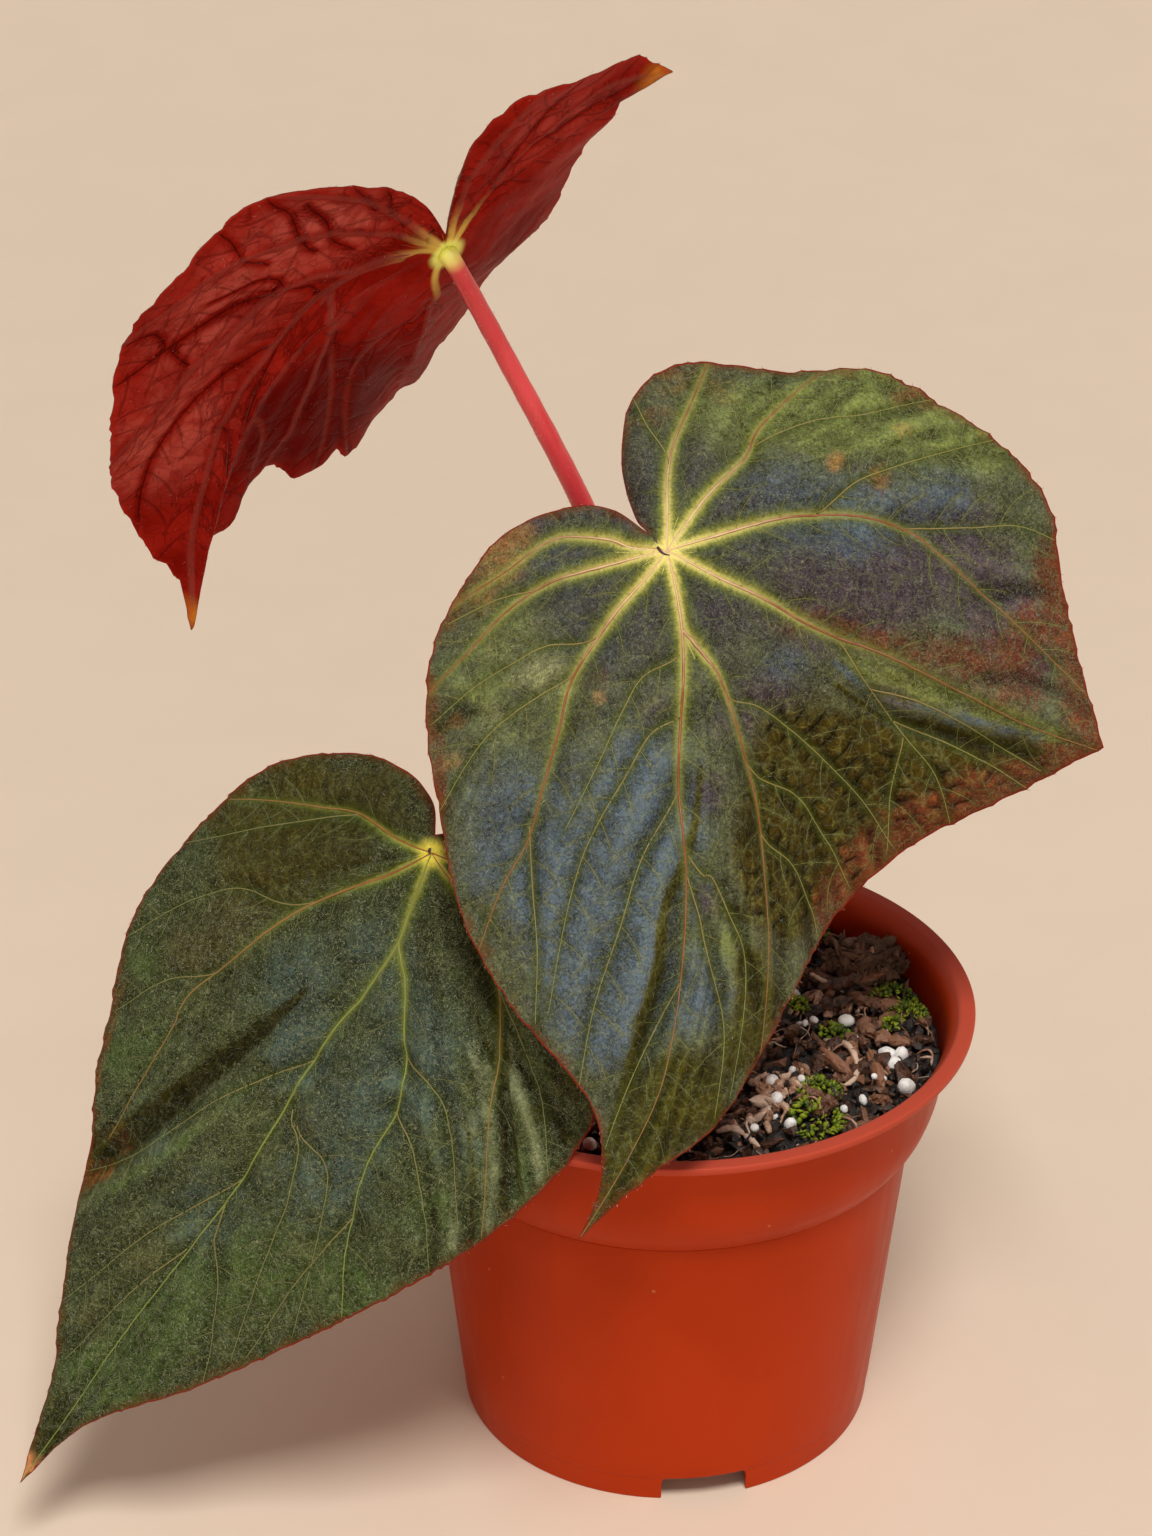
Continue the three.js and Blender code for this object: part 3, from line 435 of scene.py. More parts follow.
                  (-20.5, 8.5, 180.3), (-26, 7, 192.1), (-31.4, 5, 203.9)],
        "primaries": [
            [(82, 0), (82, 46), (83, 72), (93, 87), (105, 100)],
            [(137, 0), (137, 37), (145, 60), (158, 84), (177, 92), (193, 100)],
            [(262, 14), (266, 26), (228, 44), (240, 68), (256, 88), (260, 100)],
            [(250, 0), (262, 24), (310, 32), (337, 42), (341, 59), (351, 74), (360, 90), (390, 100)],
            [(300, 16), (310, 30), (397, 28), (450, 38), (472, 55), (475, 78), (466, 98)],
            [(560, 0), (605, 18), (600, 34), (581, 66), (569, 98)],
            [(860, 0), (860, 30), (866, 48), (863, 66), (858, 82), (827, 100)],
            [(925, 0), (938, 32), (926, 59), (916, 76), (906, 98)],
        ],
        "secondaries": [
            [(225, 55), (217, 65), (217, 80), (220, 100)],
            [(337, 44), (318, 54), (303, 63), (294, 78), (300, 90), (322, 100)],
            [(345, 64), (362, 62), (400, 66), (419, 80), (425, 98)],
            [(310, 32), (352, 44), (375, 52), (405, 58), (440, 68), (448, 97)],
            [(868, 18), (849, 28), (813, 42), (806, 61), (809, 97)],
            [(866, 36), (882, 62), (886, 98)],
            [(450, 38), (500, 48), (512, 70), (508, 98)],
            [(600, 30), (540, 46), (530, 72), (536, 98)],
            [(860, 44), (846, 62), (838, 84), (836, 98)],
            [(928, 56), (946, 74), (950, 98)],
            [(91, 40), (76, 60), (63, 79), (58, 97)],
            [(88, 63), (80, 80), (76, 97)],
            [(189, 36), (158, 47), (126, 61), (110, 80)],
            [(176, 49), (150, 60), (122, 78), (112, 97)],
            [(174, 64), (158, 76), (141, 89), (134, 98)],
            [(305, 34), (262, 40), (228, 50), (203, 57), (196, 74)],
            [(236, 78), (218, 84), (199, 91), (196, 99)],
        ],
        "folds": [
            ([(280, 40), (290, 62), (300, 84)], 0.7, 3.2),
            ([(200, 46), (206, 70), (212, 94)], 0.7, 3.0),
        ],
        "creases": [(840, 60, 0.3), (500, 120, 0.2)],
        "wrinkles": {"zone": "violet_and_painted_light", "height": 0.1, "everywhere": 0.08, "wave": 4.6},
        # On this leaf the violet discs also mark where the lower face gets painted light, and the olive discs
        # where it gets painted shade
        "zones": {
            "blue": [],
            "violet_and_painted_light": [(40, 0, 16, 0.7), (20, 12, 9, 0.6), (45, -30, 14, 0.8), (-12, 24, 12, 0.5),
                       (30, 16, 10, 0.4)],
            "rust": [(34, -72, 6, 1), (-33, 31, 5, 1), (50, 12, 6, 0.5), (30, 22, 8, 0.6),
                     (10, 14, 5, 0.4)],
            "leafy": [(16, -20, 16, 1), (-10, -20, 14, 0.8)],
            "olive_and_painted_shade": [(8, -38, 18, 1), (-18, -8, 16, 0.7), (20, -30, 14, 0.8)],
            "deep": [],
        },
        "stripes": [],
        "tips": (0, 1),
        "depths": {1: (0.55, 0.8), 2: (-0.6, 0.15), 3: (-0.5, 0)},
        "pleats": 0.05,
        "panels": 0.45,
        "halo": 0.7,
        "scallop": 0.8,
        "tint": ([0, 5, 10, 100], [0.0, 0.08, 0.42, 0.6]),
        "side_veins": (5.0, 9),
        "grid": (336, 70),
    },
}

# By a vein's rank: the radius of its line at both ends, its strength there, the depths and widths of its
# groove above, the height and width of its rib below, and how many sides its line has
TUBE_RADIUS = {1: (0.25, 0.08), 2: (0.13, 0.06), 3: (0.042, 0.03)}
VEIN_STRENGTH = {1: (1.0, 0.5), 2: (0.9, 0.45), 3: (0.7, 0.4)}
GROOVES = {1: ((1.5, 4.4), (0.35, 0.9)), 2: ((0.95, 3.2), (0.3, 0.8)), 3: ((0.3, 1.5), (0.05, 0.6))}
RIBS = {1: (0.8, 0.8), 2: (0.4, 0.6), 3: (0.16, 0.5)}
TUBE_SIDES = {1: 8, 2: 6, 3: 4}
# The distance between the points of a vein
VEIN_STEP = 0.8
# By rank, how far from a vein its signed distance is used, before the plain one takes over
CRISP_REACH = {1: 1.6, 2: 0.8, 3: 0.8}


# Mesh helpers

def unit(vectors):
    """The vectors at length 1."""
    vectors = np.asarray(vectors, float)
    return vectors / np.maximum(np.linalg.norm(vectors, axis=-1, keepdims=True), 1e-12)


class Parts:
    """Collects closed shapes, in millimetres round the pot's axis, into one mesh."""

    def __init__(self):
        self.points, self.quads, self.triangles, self.count = [], [], [], 0
        self.values = {}

    def add(self, points, quads=(), triangles=(), **values):
        points = np.asarray(points, float).reshape(-1, 3)
        if len(quads):
            self.quads.append(np.asarray(quads) + self.count)
        if len(triangles):
            self.triangles.append(np.asarray(triangles) + self.count)
        for name, value in values.items():
            self.values.setdefault(name, []).append(np.broadcast_to(value, len(points)))
        self.points.append(points)
        self.count += len(points)

    def build(self, name, materials, slot, replaced=(), smooth=True, material_of=None):
        """Makes the piece. material_of gives the number of each face's material."""
        mesh = bpy.data.meshes.new(name)
        points = (np.concatenate(self.points) + AXIS) * MM
        kinds = [np.concatenate(faces).astype(np.int32) for faces in (self.quads, self.triangles) if faces]
        corners = np.concatenate([faces.ravel() for faces in kinds])
        sizes = np.concatenate([np.full(len(faces), faces.shape[1], np.int32) for faces in kinds])
        mesh.vertices.add(len(points))
        mesh.vertices.foreach_set("co", points.astype(np.float32).ravel())
        mesh.loops.add(len(corners))
        mesh.loops.foreach_set("vertex_index", corners)
        mesh.polygons.add(len(sizes))
        starts = np.concatenate([[0], np.cumsum(sizes)[:-1]]).astype(np.int32)
        mesh.polygons.foreach_set("loop_start", starts)
        mesh.polygons.foreach_set("use_smooth", np.full(len(sizes), smooth))
        if material_of is not None:
            mesh.polygons.foreach_set("material_index", material_of.astype(np.int32))
        for key, blocks in self.values.items():
            attribute = mesh.attributes.new(key, "FLOAT", "POINT")
            attribute.data.foreach_set("value", np.concatenate(blocks).astype(np.float32))
        mesh.update(calc_edges=True)
        piece = bpy.data.objects.new(name, mesh)
        bpy.context.scene.collection.objects.link(piece)
        for material in materials:
            mesh.materials.append(material)
        return settle(piece, replaced)


def settle(piece, replaced=()):
    """Makes a piece ride on the one body and the nodes that it stands for."""
    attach(piece, "root")
    if replaced:
        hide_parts(*replaced)
    return piece


def spline(points, count, centripetal=False):
    """count + 1 points at even distances along a Catmull-Rom curve, and its length."""
    p = np.array(points, float)
    p = np.vstack([2 * p[0] - p[1], p, 2 * p[-1] - p[-2]])
    t = (np.arange(24) / 24)[:, None]
    dense = []
    for a, b, c, d in zip(p, p[1:], p[2:], p[3:]):
        if centripetal:
            ab, bc, cd = (max(np.linalg.norm(v - u) ** 0.5, 1e-6) for u, v in ((a, b), (b, c), (c, d)))
            leave = ((b - a) / ab - (c - a) / (ab + bc) + (c - b) / bc) * bc
            arrive = ((c - b) / bc - (d - b) / (bc + cd) + (d - c) / cd) * bc
        else:
            leave, arrive = (c - a) / 2, (d - b) / 2
        bend = (3 * (c - b) - 2 * leave - arrive) * t ** 2 + (leave + arrive - 2 * (c - b)) * t ** 3
        dense.append(b + leave * t + bend)
    dense = np.vstack(dense + [p[-2:-1]])
    run = np.concatenate([[0], np.cumsum(np.linalg.norm(np.diff(dense, axis=0), axis=1))])
    at = np.linspace(0, run[-1], count + 1)
    return np.stack([np.interp(at, run, dense[:, k]) for k in range(dense.shape[1])], 1), run[-1]


def ring_faces(rings, sides):
    """Quads between the rings of a tube, and the end caps' fans to two middle points that follow them."""
    i = np.arange(sides)
    j = (i + 1) % sides
    quads = [np.stack([k * sides + i, k * sides + j, (k + 1) * sides + j, (k + 1) * sides + i], 1)
             for k in range(rings - 1)]
    first, last = rings * sides, rings * sides + 1
    caps = [np.stack([np.full(sides, first), j, i], 1),
            np.stack([np.full(sides, last), (rings - 1) * sides + i, (rings - 1) * sides + j], 1)]
    return np.concatenate(quads), np.concatenate(caps)


def tube(parts, path, radii, sides=6, up=(0, 0, 1), flat=1.0, **values):
    """A closed tube along path. up leans its section, and flat is its height over its width. The value
    flank is 1 at its sides and 0 along its top."""
    path = np.asarray(path, float)
    along = unit(np.gradient(path, axis=0))
    side = unit(np.cross(along, np.broadcast_to(up, path.shape)))
    rise = np.cross(side, along)
    turn = 2 * np.pi * np.arange(sides)[:, None] / sides
    radii = np.broadcast_to(radii, len(path))[:, None, None]
    ring = side[:, None] * np.cos(turn) + rise[:, None] * (flat * np.sin(turn))
    points = path[:, None] + radii * ring
    quads, caps = ring_faces(len(path), sides)
    ends = path[[0, -1]]
    spread = {}
    for name, value in values.items():
        value = np.broadcast_to(value, len(path))
        spread[name] = np.concatenate([np.repeat(value, sides), value[[0, -1]]])
    if "tint" in spread:
        spread["flank"] = np.concatenate([np.tile(np.abs(np.cos(turn[:, 0])), len(path)), [0, 0]])
    parts.add(np.vstack([points.reshape(-1, 3), ends]), quads, caps, **spread)


def hairs(parts, roots, grow, lean, length, radius, **values):
    """Many small bent hairs, each a three-sided spike with its root sunk in what it grows from."""
    side = unit(np.cross(grow, lean))
    rise = unit(np.cross(side, grow))
    length = np.asarray(length)[:, None]
    bend = roots + grow * length * 0.55
    tip = bend + unit(grow * 0.5 + lean) * length * 0.45
    foot = roots - grow * 0.12
    rows = []
    for centre, size in ((foot, 1.0), (bend, 0.7)):
        for turn in (0, 2 * np.pi / 3, 4 * np.pi / 3):
            rows.append(centre + radius * size * (side * math.cos(turn) + rise * math.sin(turn)))
    points = np.stack(rows + [tip], 1)
    start = 7 * np.arange(len(roots))[:, None]
    quads = np.concatenate([start + [[a, b, b + 3, a + 3]] for a, b in ((0, 1), (1, 2), (2, 0))])
    corners = ([2, 1, 0], [3, 4, 6], [4, 5, 6], [5, 3, 6])
    triangles = np.concatenate([start + [corner] for corner in corners])
    spread = {name: np.repeat(np.broadcast_to(value, len(roots)), 7) for name, value in values.items()}
    parts.add(points.reshape(-1, 3), quads, triangles, **spread)


def rough(points, scale, seed):
    """Smooth noise from -1 to 1 at each point, with features about 1 / scale across."""
    shift = Vector((seed * 17.3, seed * 7.1, seed * 3.7))
    return np.array([noise.noise(Vector(p) * scale + shift) for p in points])


# Material helpers

class Field:
    """A node's output. Sums written with + - * / ** and abs() add the math nodes that work them out."""

    def __init__(self, nodes, socket):
        self.nodes, self.socket = nodes, socket

    def __add__(self, other):
        return self.nodes.math("ADD", self, other)

    def __sub__(self, other):
        return self.nodes.math("SUBTRACT", self, other)

    def __mul__(self, other):
        return self.nodes.math("MULTIPLY", self, other)

    def __truediv__(self, other):
        return self.nodes.math("DIVIDE", self, other)

    def __pow__(self, other):
        return self.nodes.math("POWER", self, other)

    def __abs__(self):
        return self.nodes.math("ABSOLUTE", self)


class Nodes:
    """A material's node tree round its Principled shader. Lengths in textures are in millimetres."""

    def __init__(self, name, roughness=0.5, **sockets):
        self.material = bpy.data.materials.new(name)
        self.material.use_nodes = True
        self.tree = self.material.node_tree
        self.shader = self.tree.nodes["Principled BSDF"]
        self.feed(self.shader, {"Roughness": roughness})
        self.feed(self.shader, {socket.replace("_", " "): value for socket, value in sockets.items()})
        self.place = self.vector("MULTIPLY", self.node("ShaderNodeTexCoord", {}, "Object"), (1 / MM,) * 3)
        self.colour = self.relief = None

    def feed(self, node, inputs):
        """Links a node's inputs to fields and sets those that are plain values."""
        for key, value in inputs.items():
            if isinstance(value, Field):
                self.tree.links.new(value.socket, node.inputs[key])
            else:
                node.inputs[key].default_value = value

    def node(self, kind, inputs, output=0, **settings):
        node = self.tree.nodes.new(kind)
        for name, value in settings.items():
            setattr(node, name, value)
        self.feed(node, inputs)
        return Field(self, node.outputs[output])

    def vector(self, operation, a, b):
        return self.node("ShaderNodeVectorMath", {0: a, 1: b}, operation=operation)

    def math(self, operation, a, b=0.0, c=0.0):
        return self.node("ShaderNodeMath", {0: a, 1: b, 2: c}, operation=operation)

    def value(self, name):
        return self.node("ShaderNodeAttribute", {}, "Fac", attribute_name=name)

    def join(self, x, y):
        return self.node("ShaderNodeCombineXYZ", {0: x, 1: y, 2: 0.0})

    def crisp(self, rank):
        """The distance to the nearest vein of a rank, made from the signed one close by to keep it sharp."""
        near, far = abs(self.value(f"side{rank}")), self.value(f"away{rank}")
        is_far = self.math("GREATER_THAN", far, CRISP_REACH[rank])
        return self.math("MULTIPLY_ADD", is_far, far - near, near)

    def noise(self, size, detail=2, stretch=(1, 1, 1), roughness=0.5, distortion=0.0, place=None):
        place = self.vector("MULTIPLY", place or self.place, tuple(1 / (size * s) for s in stretch))
        inputs = {"Vector": place, "Scale": 1.0, "Detail": detail, "Roughness": roughness,
                  "Distortion": distortion}
        return self.node("ShaderNodeTexNoise", inputs, "Fac")

    def cells(self, size, feature="DISTANCE_TO_EDGE", warp=0.0):
        """Distances in a pattern of cells, with their edges bent by up to warp."""
        place = self.place
        if warp:
            wave = {"Vector": place, "Scale": 0.5 / size, "Detail": 2.0}
            bend = self.vector("MULTIPLY", self.node("ShaderNodeTexNoise", wave, "Color"), (warp,) * 3)
            place = self.vector("ADD", place, bend)
        inputs = {"Vector": place, "Scale": 1 / size}
        return self.node("ShaderNodeTexVoronoi", inputs, "Distance", feature=feature)

    def span(self, value, low, high, to_low=0.0, to_high=1.0):
        """Goes smoothly from to_low to to_high as the value goes from low to high."""
        inputs = {"Value": value, "From Min": low, "From Max": high, "To Min": to_low, "To Max": to_high}
        return self.node("ShaderNodeMapRange", inputs, interpolation_type="SMOOTHSTEP")

    def mix(self, share, a, b, blend="MIX"):
        a, b = (c + (1,) if isinstance(c, tuple) else c for c in (a, b))
        inputs = {0: share, 6: a, 7: b}
        return self.node("ShaderNodeMix", inputs, 2, data_type="RGBA", blend_type=blend, clamp_factor=True)

    def ramp(self, value, *stops):
        colour = self.node("ShaderNodeValToRGB", {0: value})
        points = colour.socket.node.color_ramp.elements
        while len(points) < len(stops):
            points.new(0.5)
        for point, (position, shade) in zip(points, stops):
            point.position = position
            point.color = shade + (1,)
        return colour

    def ground(self, pattern, low, high, a, b):
        """The first colour goes over from a to b as the pattern goes from low to high."""
        self.colour = self.mix(self.span(pattern, low, high), a, b)

    def paint(self, share, colour, blend="MIX"):
        """Lays a colour over the one so far."""
        self.colour = self.mix(share, self.colour, colour, blend)

    def emboss(self, height, depth):
        """Lays relief of height times depth in millimetres over the relief so far."""
        inputs = {"Height": height, "Distance": depth * MM, "Strength": 1.0}
        if self.relief:
            inputs["Normal"] = self.relief
        self.relief = self.node("ShaderNodeBump", inputs)

    def finish(self, roughness=None):
        fields = {"Base Color": self.colour, "Normal": self.relief, "Roughness": roughness}
        self.feed(self.shader, {key: field for key, field in fields.items() if field})
        return self.material


# Materials

def pot_material():
    n = Nodes("pot_plastic", 0.36, Specular_IOR_Level=0.3, IOR=1.2)
    n.ground(n.noise(30), 0.35, 0.65, (0.39, 0.033, 0.004), (0.43, 0.038, 0.005))
    flow = n.noise(3, 4, stretch=(1, 1, 6))
    n.paint(n.span(flow, 0.5, 0.8, 0, 0.12), (0.54, 0.05, 0.006))
    # The lip's top is painted paler and pinker: a painted highlight for the light and sheen that fall on it
    # from above
    n.paint(n.value("lip") * 0.85, (0.50, 0.075, 0.042))
    # The inside is painted darker: painted shade in the pot's hollow
    n.paint(n.value("inner") * 0.5, (0.20, 0.008, 0.001))
    scuff = n.span(n.noise(0.7, 3, stretch=(1, 1, 3)), 0.72, 0.80) * n.span(n.noise(14), 0.52, 0.62)
    speck = n.span(n.cells(9, "F1"), 0.045, 0.03)
    marks = n.math("MAXIMUM", scuff * 0.35, speck * 0.4)
    n.paint(marks, (0.66, 0.22, 0.13))
    roughness = n.span(flow, 0.3, 0.7, 0.32, 0.42) + marks * 0.25
    n.emboss(n.noise(0.5, 3), 0.012)
    n.emboss(n.noise(12, stretch=(1, 1, 2)), 0.08)
    return n.finish(roughness)


def paint_zones(n, look):
    """Zones with ragged edges over a mottled ground."""
    ragged = n.noise(3.5, 4, roughness=0.6, distortion=0.4) + n.noise(0.7) * 0.4 - 0.7
    n.ground(n.noise(7, 3), 0.38, 0.62, *look["ground"])
    for zone, colour, most in look["patches"]:
        n.paint(n.span(n.value(zone) + ragged, 0.12, 0.85, 0, most), colour)


def paint_halos(n, look, main, side, down):
    """A wide green glow, then the pale halo, along the main and the side veins, and a star at the stalk."""
    power = n.value("power1")
    place = n.join(n.value("run1"), n.value("side1"))
    comb = n.noise(1.0, stretch=(0.4, 3.0, 1), distortion=0.4, place=place)
    comb = n.span(comb, 0.3, 0.7, 0.36, 0.64) + (down - 0.5) * 1.1
    width = look["halo_width"]
    reach = main / ((comb + 0.5) * n.span(power, 0.0, 0.8, 0.55 * width, width))
    branch = n.span(side + comb * 0.4, 1.7, 0.3) * n.value("power2")
    glow = n.math("MAXIMUM", n.span(reach, 3.2, 0.8) * power, branch)
    n.paint(glow * look["glow_share"], look["glow"])
    n.paint(n.span(reach, 1.8, 0.4) * power ** 1.4, look["halo_far"])
    n.paint(n.span(reach, 1.0, 0.3) * power ** 2.4, look["halo_near"])
    star = n.value("hub") + comb * 1.2
    n.paint(n.span(star, look["star_reach"], look["star_reach"] * 0.4), look["star"])


def paint_margin(n, look):
    """A flush with a ragged inner side along the margin, coloured tips and a thin dark edge."""
    flame = n.value("edge") + n.noise(4, 3) * 5.0
    n.paint(n.span(flame, 4.4, 2.0, 0, 0.55), look["flush"])
    n.paint(n.span(n.value("tip") + n.noise(1.5, 3) * 4.0, 9, 5), look["tip"])
    n.paint(n.span(n.value("edge"), 0.5, 0.2), (0.22, 0.022, 0.010))


def crease_wet_zones(n, look):
    """Fine creases across the veins of the olive zones: painted shade in their valleys, painted light on
    their tops.
    """
    folds = abs(n.math("SINE", (n.value("run") + n.noise(9) * 5.0) * (math.pi / 3.1))) ** 0.6
    strength = n.span(n.value("olive_and_painted_shade"), 0.3, 0.9) * n.value("calm")
    strength = strength * n.span(n.value("away"), 0.3, 1.4, 0, look["fold_share"])
    n.emboss(folds * strength, look["folds"])
    n.paint(n.span(folds, 0.55, 0.2, 0, 0.75) * strength, (0.2, 0.16, 0.1), "MULTIPLY")
    n.paint(n.span(folds, 0.75, 1.0, 0, 0.5) * strength, (1.9, 1.75, 1.5), "MULTIPLY")


def leaf_top_material(name, look):
    """A blade's upper face: zones, vein halos and margin in colour, and the small relief."""
    n = Nodes(name, 0.5, Specular_IOR_Level=look["gloss"], IOR=1.3)
    wet = n.span(n.math("MAXIMUM", n.value("olive_and_painted_shade"), n.value("deep")), 0.25, 0.85)
    main, side, small = n.crisp(1), n.crisp(2), n.crisp(3)
    quilt = n.noise(1.0, 3, (2.0, 3.4, 1), distortion=0.6, place=n.join(n.value("run"), n.value("away")))
    quilt = (quilt - 0.5) * n.value("calm")
    down = n.noise(0.62, 4, roughness=0.7, distortion=1.2)
    threads = abs(n.noise(1.2, distortion=2.2) - 0.5)
    paint_zones(n, look)
    n.paint(n.span(n.value("hub"), 34, 6, 0, look["heart_share"]), look["heart"])
    net = n.cells(2.4, warp=1.5)
    n.paint(n.span(net, 0.09, 0.02, 0, look["net_share"]), look["net"])
    n.paint(n.span(small, 0.7, 0.1, 0, look["net_share"]), look["net"])
    # Painted shade in the hollows and painted light on the tops of the small relief, partly the blade's
    # mottle
    shade = quilt * 0.35 + (down - 0.5) * 1.6 + n.value("cavity") * 0.25
    pale, deep = look["grain"]
    n.paint(n.span(shade, 0.06, -0.30, 0, deep), (0.26, 0.23, 0.15), "MULTIPLY")
    n.paint(n.span(shade, 0.02, 0.34, 0, pale), (2.2, 2.2, 2.2), "MULTIPLY")
    paint_halos(n, look, main, side, down)
    stroke = n.span(threads, 0.020, 0.005, 0, look["thread_share"]) * n.span(wet, 0, 1, 1, 0.3)
    n.paint(stroke, look["thread"])
    paint_margin(n, look)
    crease_wet_zones(n, look)
    # Pillows between the veins, a soft pucker, the net and the down
    n.emboss(quilt, 0.4)
    n.emboss(n.noise(2.2, 3, distortion=0.5), 0.35)
    n.emboss(n.span(net, 0.0, 0.22), 0.07)
    n.emboss(down, 0.26)
    return n.finish(n.span(wet, 0, 1, 0.52, 0.30) + n.span(n.noise(5, 3), 0.35, 0.65, -0.04, 0.04))


def leaf_under_material(name):
    """The red lower face, with a pinkish painted sheen where the attribute violet is high and painted shade
    where olive is.
    """
    n = Nodes(name, 0.5, Specular_IOR_Level=0.02)
    main, side, small = n.crisp(1), n.crisp(2), n.crisp(3)
    lit, dim = n.span(n.value("violet_and_painted_light"), 0.1, 0.9), n.span(n.value("olive_and_painted_shade"), 0.3, 0.95)
    n.ground(n.noise(9, 3), 0.35, 0.65, (0.235, 0.006, 0.002), (0.33, 0.013, 0.007))
    panel = n.span(n.math("MINIMUM", main, side), 0.3, 1.8) * n.span(n.noise(3, 3), 0.35, 0.6, 0.4, 1)
    # Painted light: paler pink on the panels where violet is high. Painted shade: darker red where olive is.
    n.paint(lit * panel * 0.85, (0.55, 0.100, 0.078))
    n.paint(dim * 0.9, (0.120, 0.0014, 0.0006))
    # Dark net and small veins, then the side veins: painted dark, as shadow, in the lit parts and painted
    # pale, as a highlight, in the dim ones
    n.paint(n.span(n.cells(2.4, warp=1.2), 0.08, 0.02, 0, 0.25), (0.09, 0.002, 0.001))
    n.paint(n.span(small, 0.35, 0.1, 0, 0.45), (0.09, 0.002, 0.001))
    n.paint(n.span(side, 0.28, 0.10) * n.span(dim, 0.6, 0.1, 0, 0.75), (0.05, 0.0015, 0.001))
    n.paint(n.span(side, 1.0, 0.2) * n.span(dim, 0.3, 0.9, 0, 0.6), (0.27, 0.030, 0.018))
    n.paint(n.span(main, 0.9, 0.3, 0, 0.6), (0.27, 0.045, 0.035))
    # Yellow rays and star at the stalk
    n.paint(n.span(main, 1.0, 0.3) * n.span(n.value("hub"), 14, 1), (0.78, 0.56, 0.12))
    n.paint(n.span(n.value("hub"), 3.8, 2.0), (0.93, 0.96, 0.25))
    n.paint(n.span(n.value("tip"), 8, 3), (0.55, 0.18, 0.018))
    n.paint(n.span(n.value("edge") + n.noise(3, 3) * 3.0, 2.8, 1.2, 0, 0.6), (0.40, 0.018, 0.010))
    n.emboss(n.span(side, 0.0, 0.9), 0.3)
    n.emboss(n.span(small, 0.0, 0.6), 0.12)
    n.emboss(n.noise(1.6, 3), 0.12)
    n.emboss(n.noise(0.6, 3), 0.04)
    return n.finish(n.span(n.noise(5, 3), 0.3, 0.7, 0.44, 0.56))


def vein_material(name, near, middle, far, flank):
    """Vein lines go through three colours as the attribute tint goes from 0 to 1, with darker flanks."""
    n = Nodes(name, 0.42, Specular_IOR_Level=0.4)
    wander = n.value("tint") + (n.noise(2.5, 3) - 0.5) * 0.3
    n.colour = n.ramp(wander, (0.03, near), (0.4, middle), (0.95, far))
    n.paint(n.span(n.value("lime"), 0.2, 0.8), (0.20, 0.26, 0.05))
    n.paint(n.span(n.value("flank"), 0.35, 0.9) * n.span(n.value("tint"), 0.7, 0.1, 0, 0.75), flank)
    n.emboss(n.noise(0.4), 0.04)
    return n.finish()


def hair_material(name, colour):
    n = Nodes(name, 0.4, Specular_IOR_Level=0.6)
    n.ground(n.noise(1.5), 0.3, 0.7, tuple(0.6 * c for c in colour), colour)
    return n.finish()


def stalk_material():
    n = Nodes("stalk_red", 0.34, Specular_IOR_Level=0.5, Subsurface_Weight=0.12,
              Subsurface_Radius=(1.0, 0.25, 0.2), Subsurface_Scale=0.0015)
    n.ground(n.noise(9, 3, stretch=(1, 1, 3)), 0.35, 0.65, (0.62, 0.040, 0.050), (0.74, 0.070, 0.080))
    streak = n.noise(0.9, 3, stretch=(1, 1, 14))
    n.paint(n.span(streak, 0.5, 0.75, 0, 0.3), (0.74, 0.12, 0.11))
    n.paint(n.span(n.cells(2.0, "F1"), 0.09, 0.04, 0, 0.35), (0.8, 0.36, 0.32))
    n.paint(n.span(n.value("from_head"), 3.4, 0.9), (0.92, 0.92, 0.22))
    n.paint(n.span(n.value("from_foot"), 14, 0, 0, 0.7), (0.34, 0.10, 0.05))
    n.emboss(streak, 0.06)
    return n.finish()


def earth_material(name, dark, pale, fleck, size, roughness):
    """Bark or peat: patches of two colours and flecks of a third. size is about that of the patches."""
    n = Nodes(name, roughness, Specular_IOR_Level=0.6)
    n.ground(n.noise(size, 4, roughness=0.65), 0.35, 0.65, dark, pale)
    n.paint(n.span(n.noise(size * 0.3, 3, distortion=0.8), 0.58, 0.75, 0, 0.7), fleck)
    n.paint(n.span(n.value("shade"), 0.0, 1.0, 0, 0.75), fleck)
    n.emboss(n.noise(size * 0.18, 4, roughness=0.7), size * 0.12)
    n.emboss(n.noise(size * 0.8, 3), size * 0.2)
    return n.finish()


def perlite_material():
    n = Nodes("perlite", 0.75, Specular_IOR_Level=0.3)
    n.ground(n.noise(0.8, 4), 0.4, 0.7, (0.96, 0.95, 0.92), (0.80, 0.75, 0.66))
    n.emboss(n.noise(0.35, 3), 0.12)
    return n.finish()


def moss_material():
    n = Nodes("moss", 0.5, Specular_IOR_Level=0.4)
    n.ground(n.noise(2.0, 3), 0.35, 0.65, (0.05, 0.085, 0.004), (0.27, 0.34, 0.012))
    n.emboss(n.noise(0.4), 0.05)
    return n.finish()


def floor_material():
    n = Nodes("floor", 0.9, Specular_IOR_Level=0.05)
    n.ground(n.noise(30, 3), 0.3, 0.7, FLOOR_COLOUR, tuple(c * 0.985 for c in FLOOR_COLOUR))
    return n.finish()


# Pot

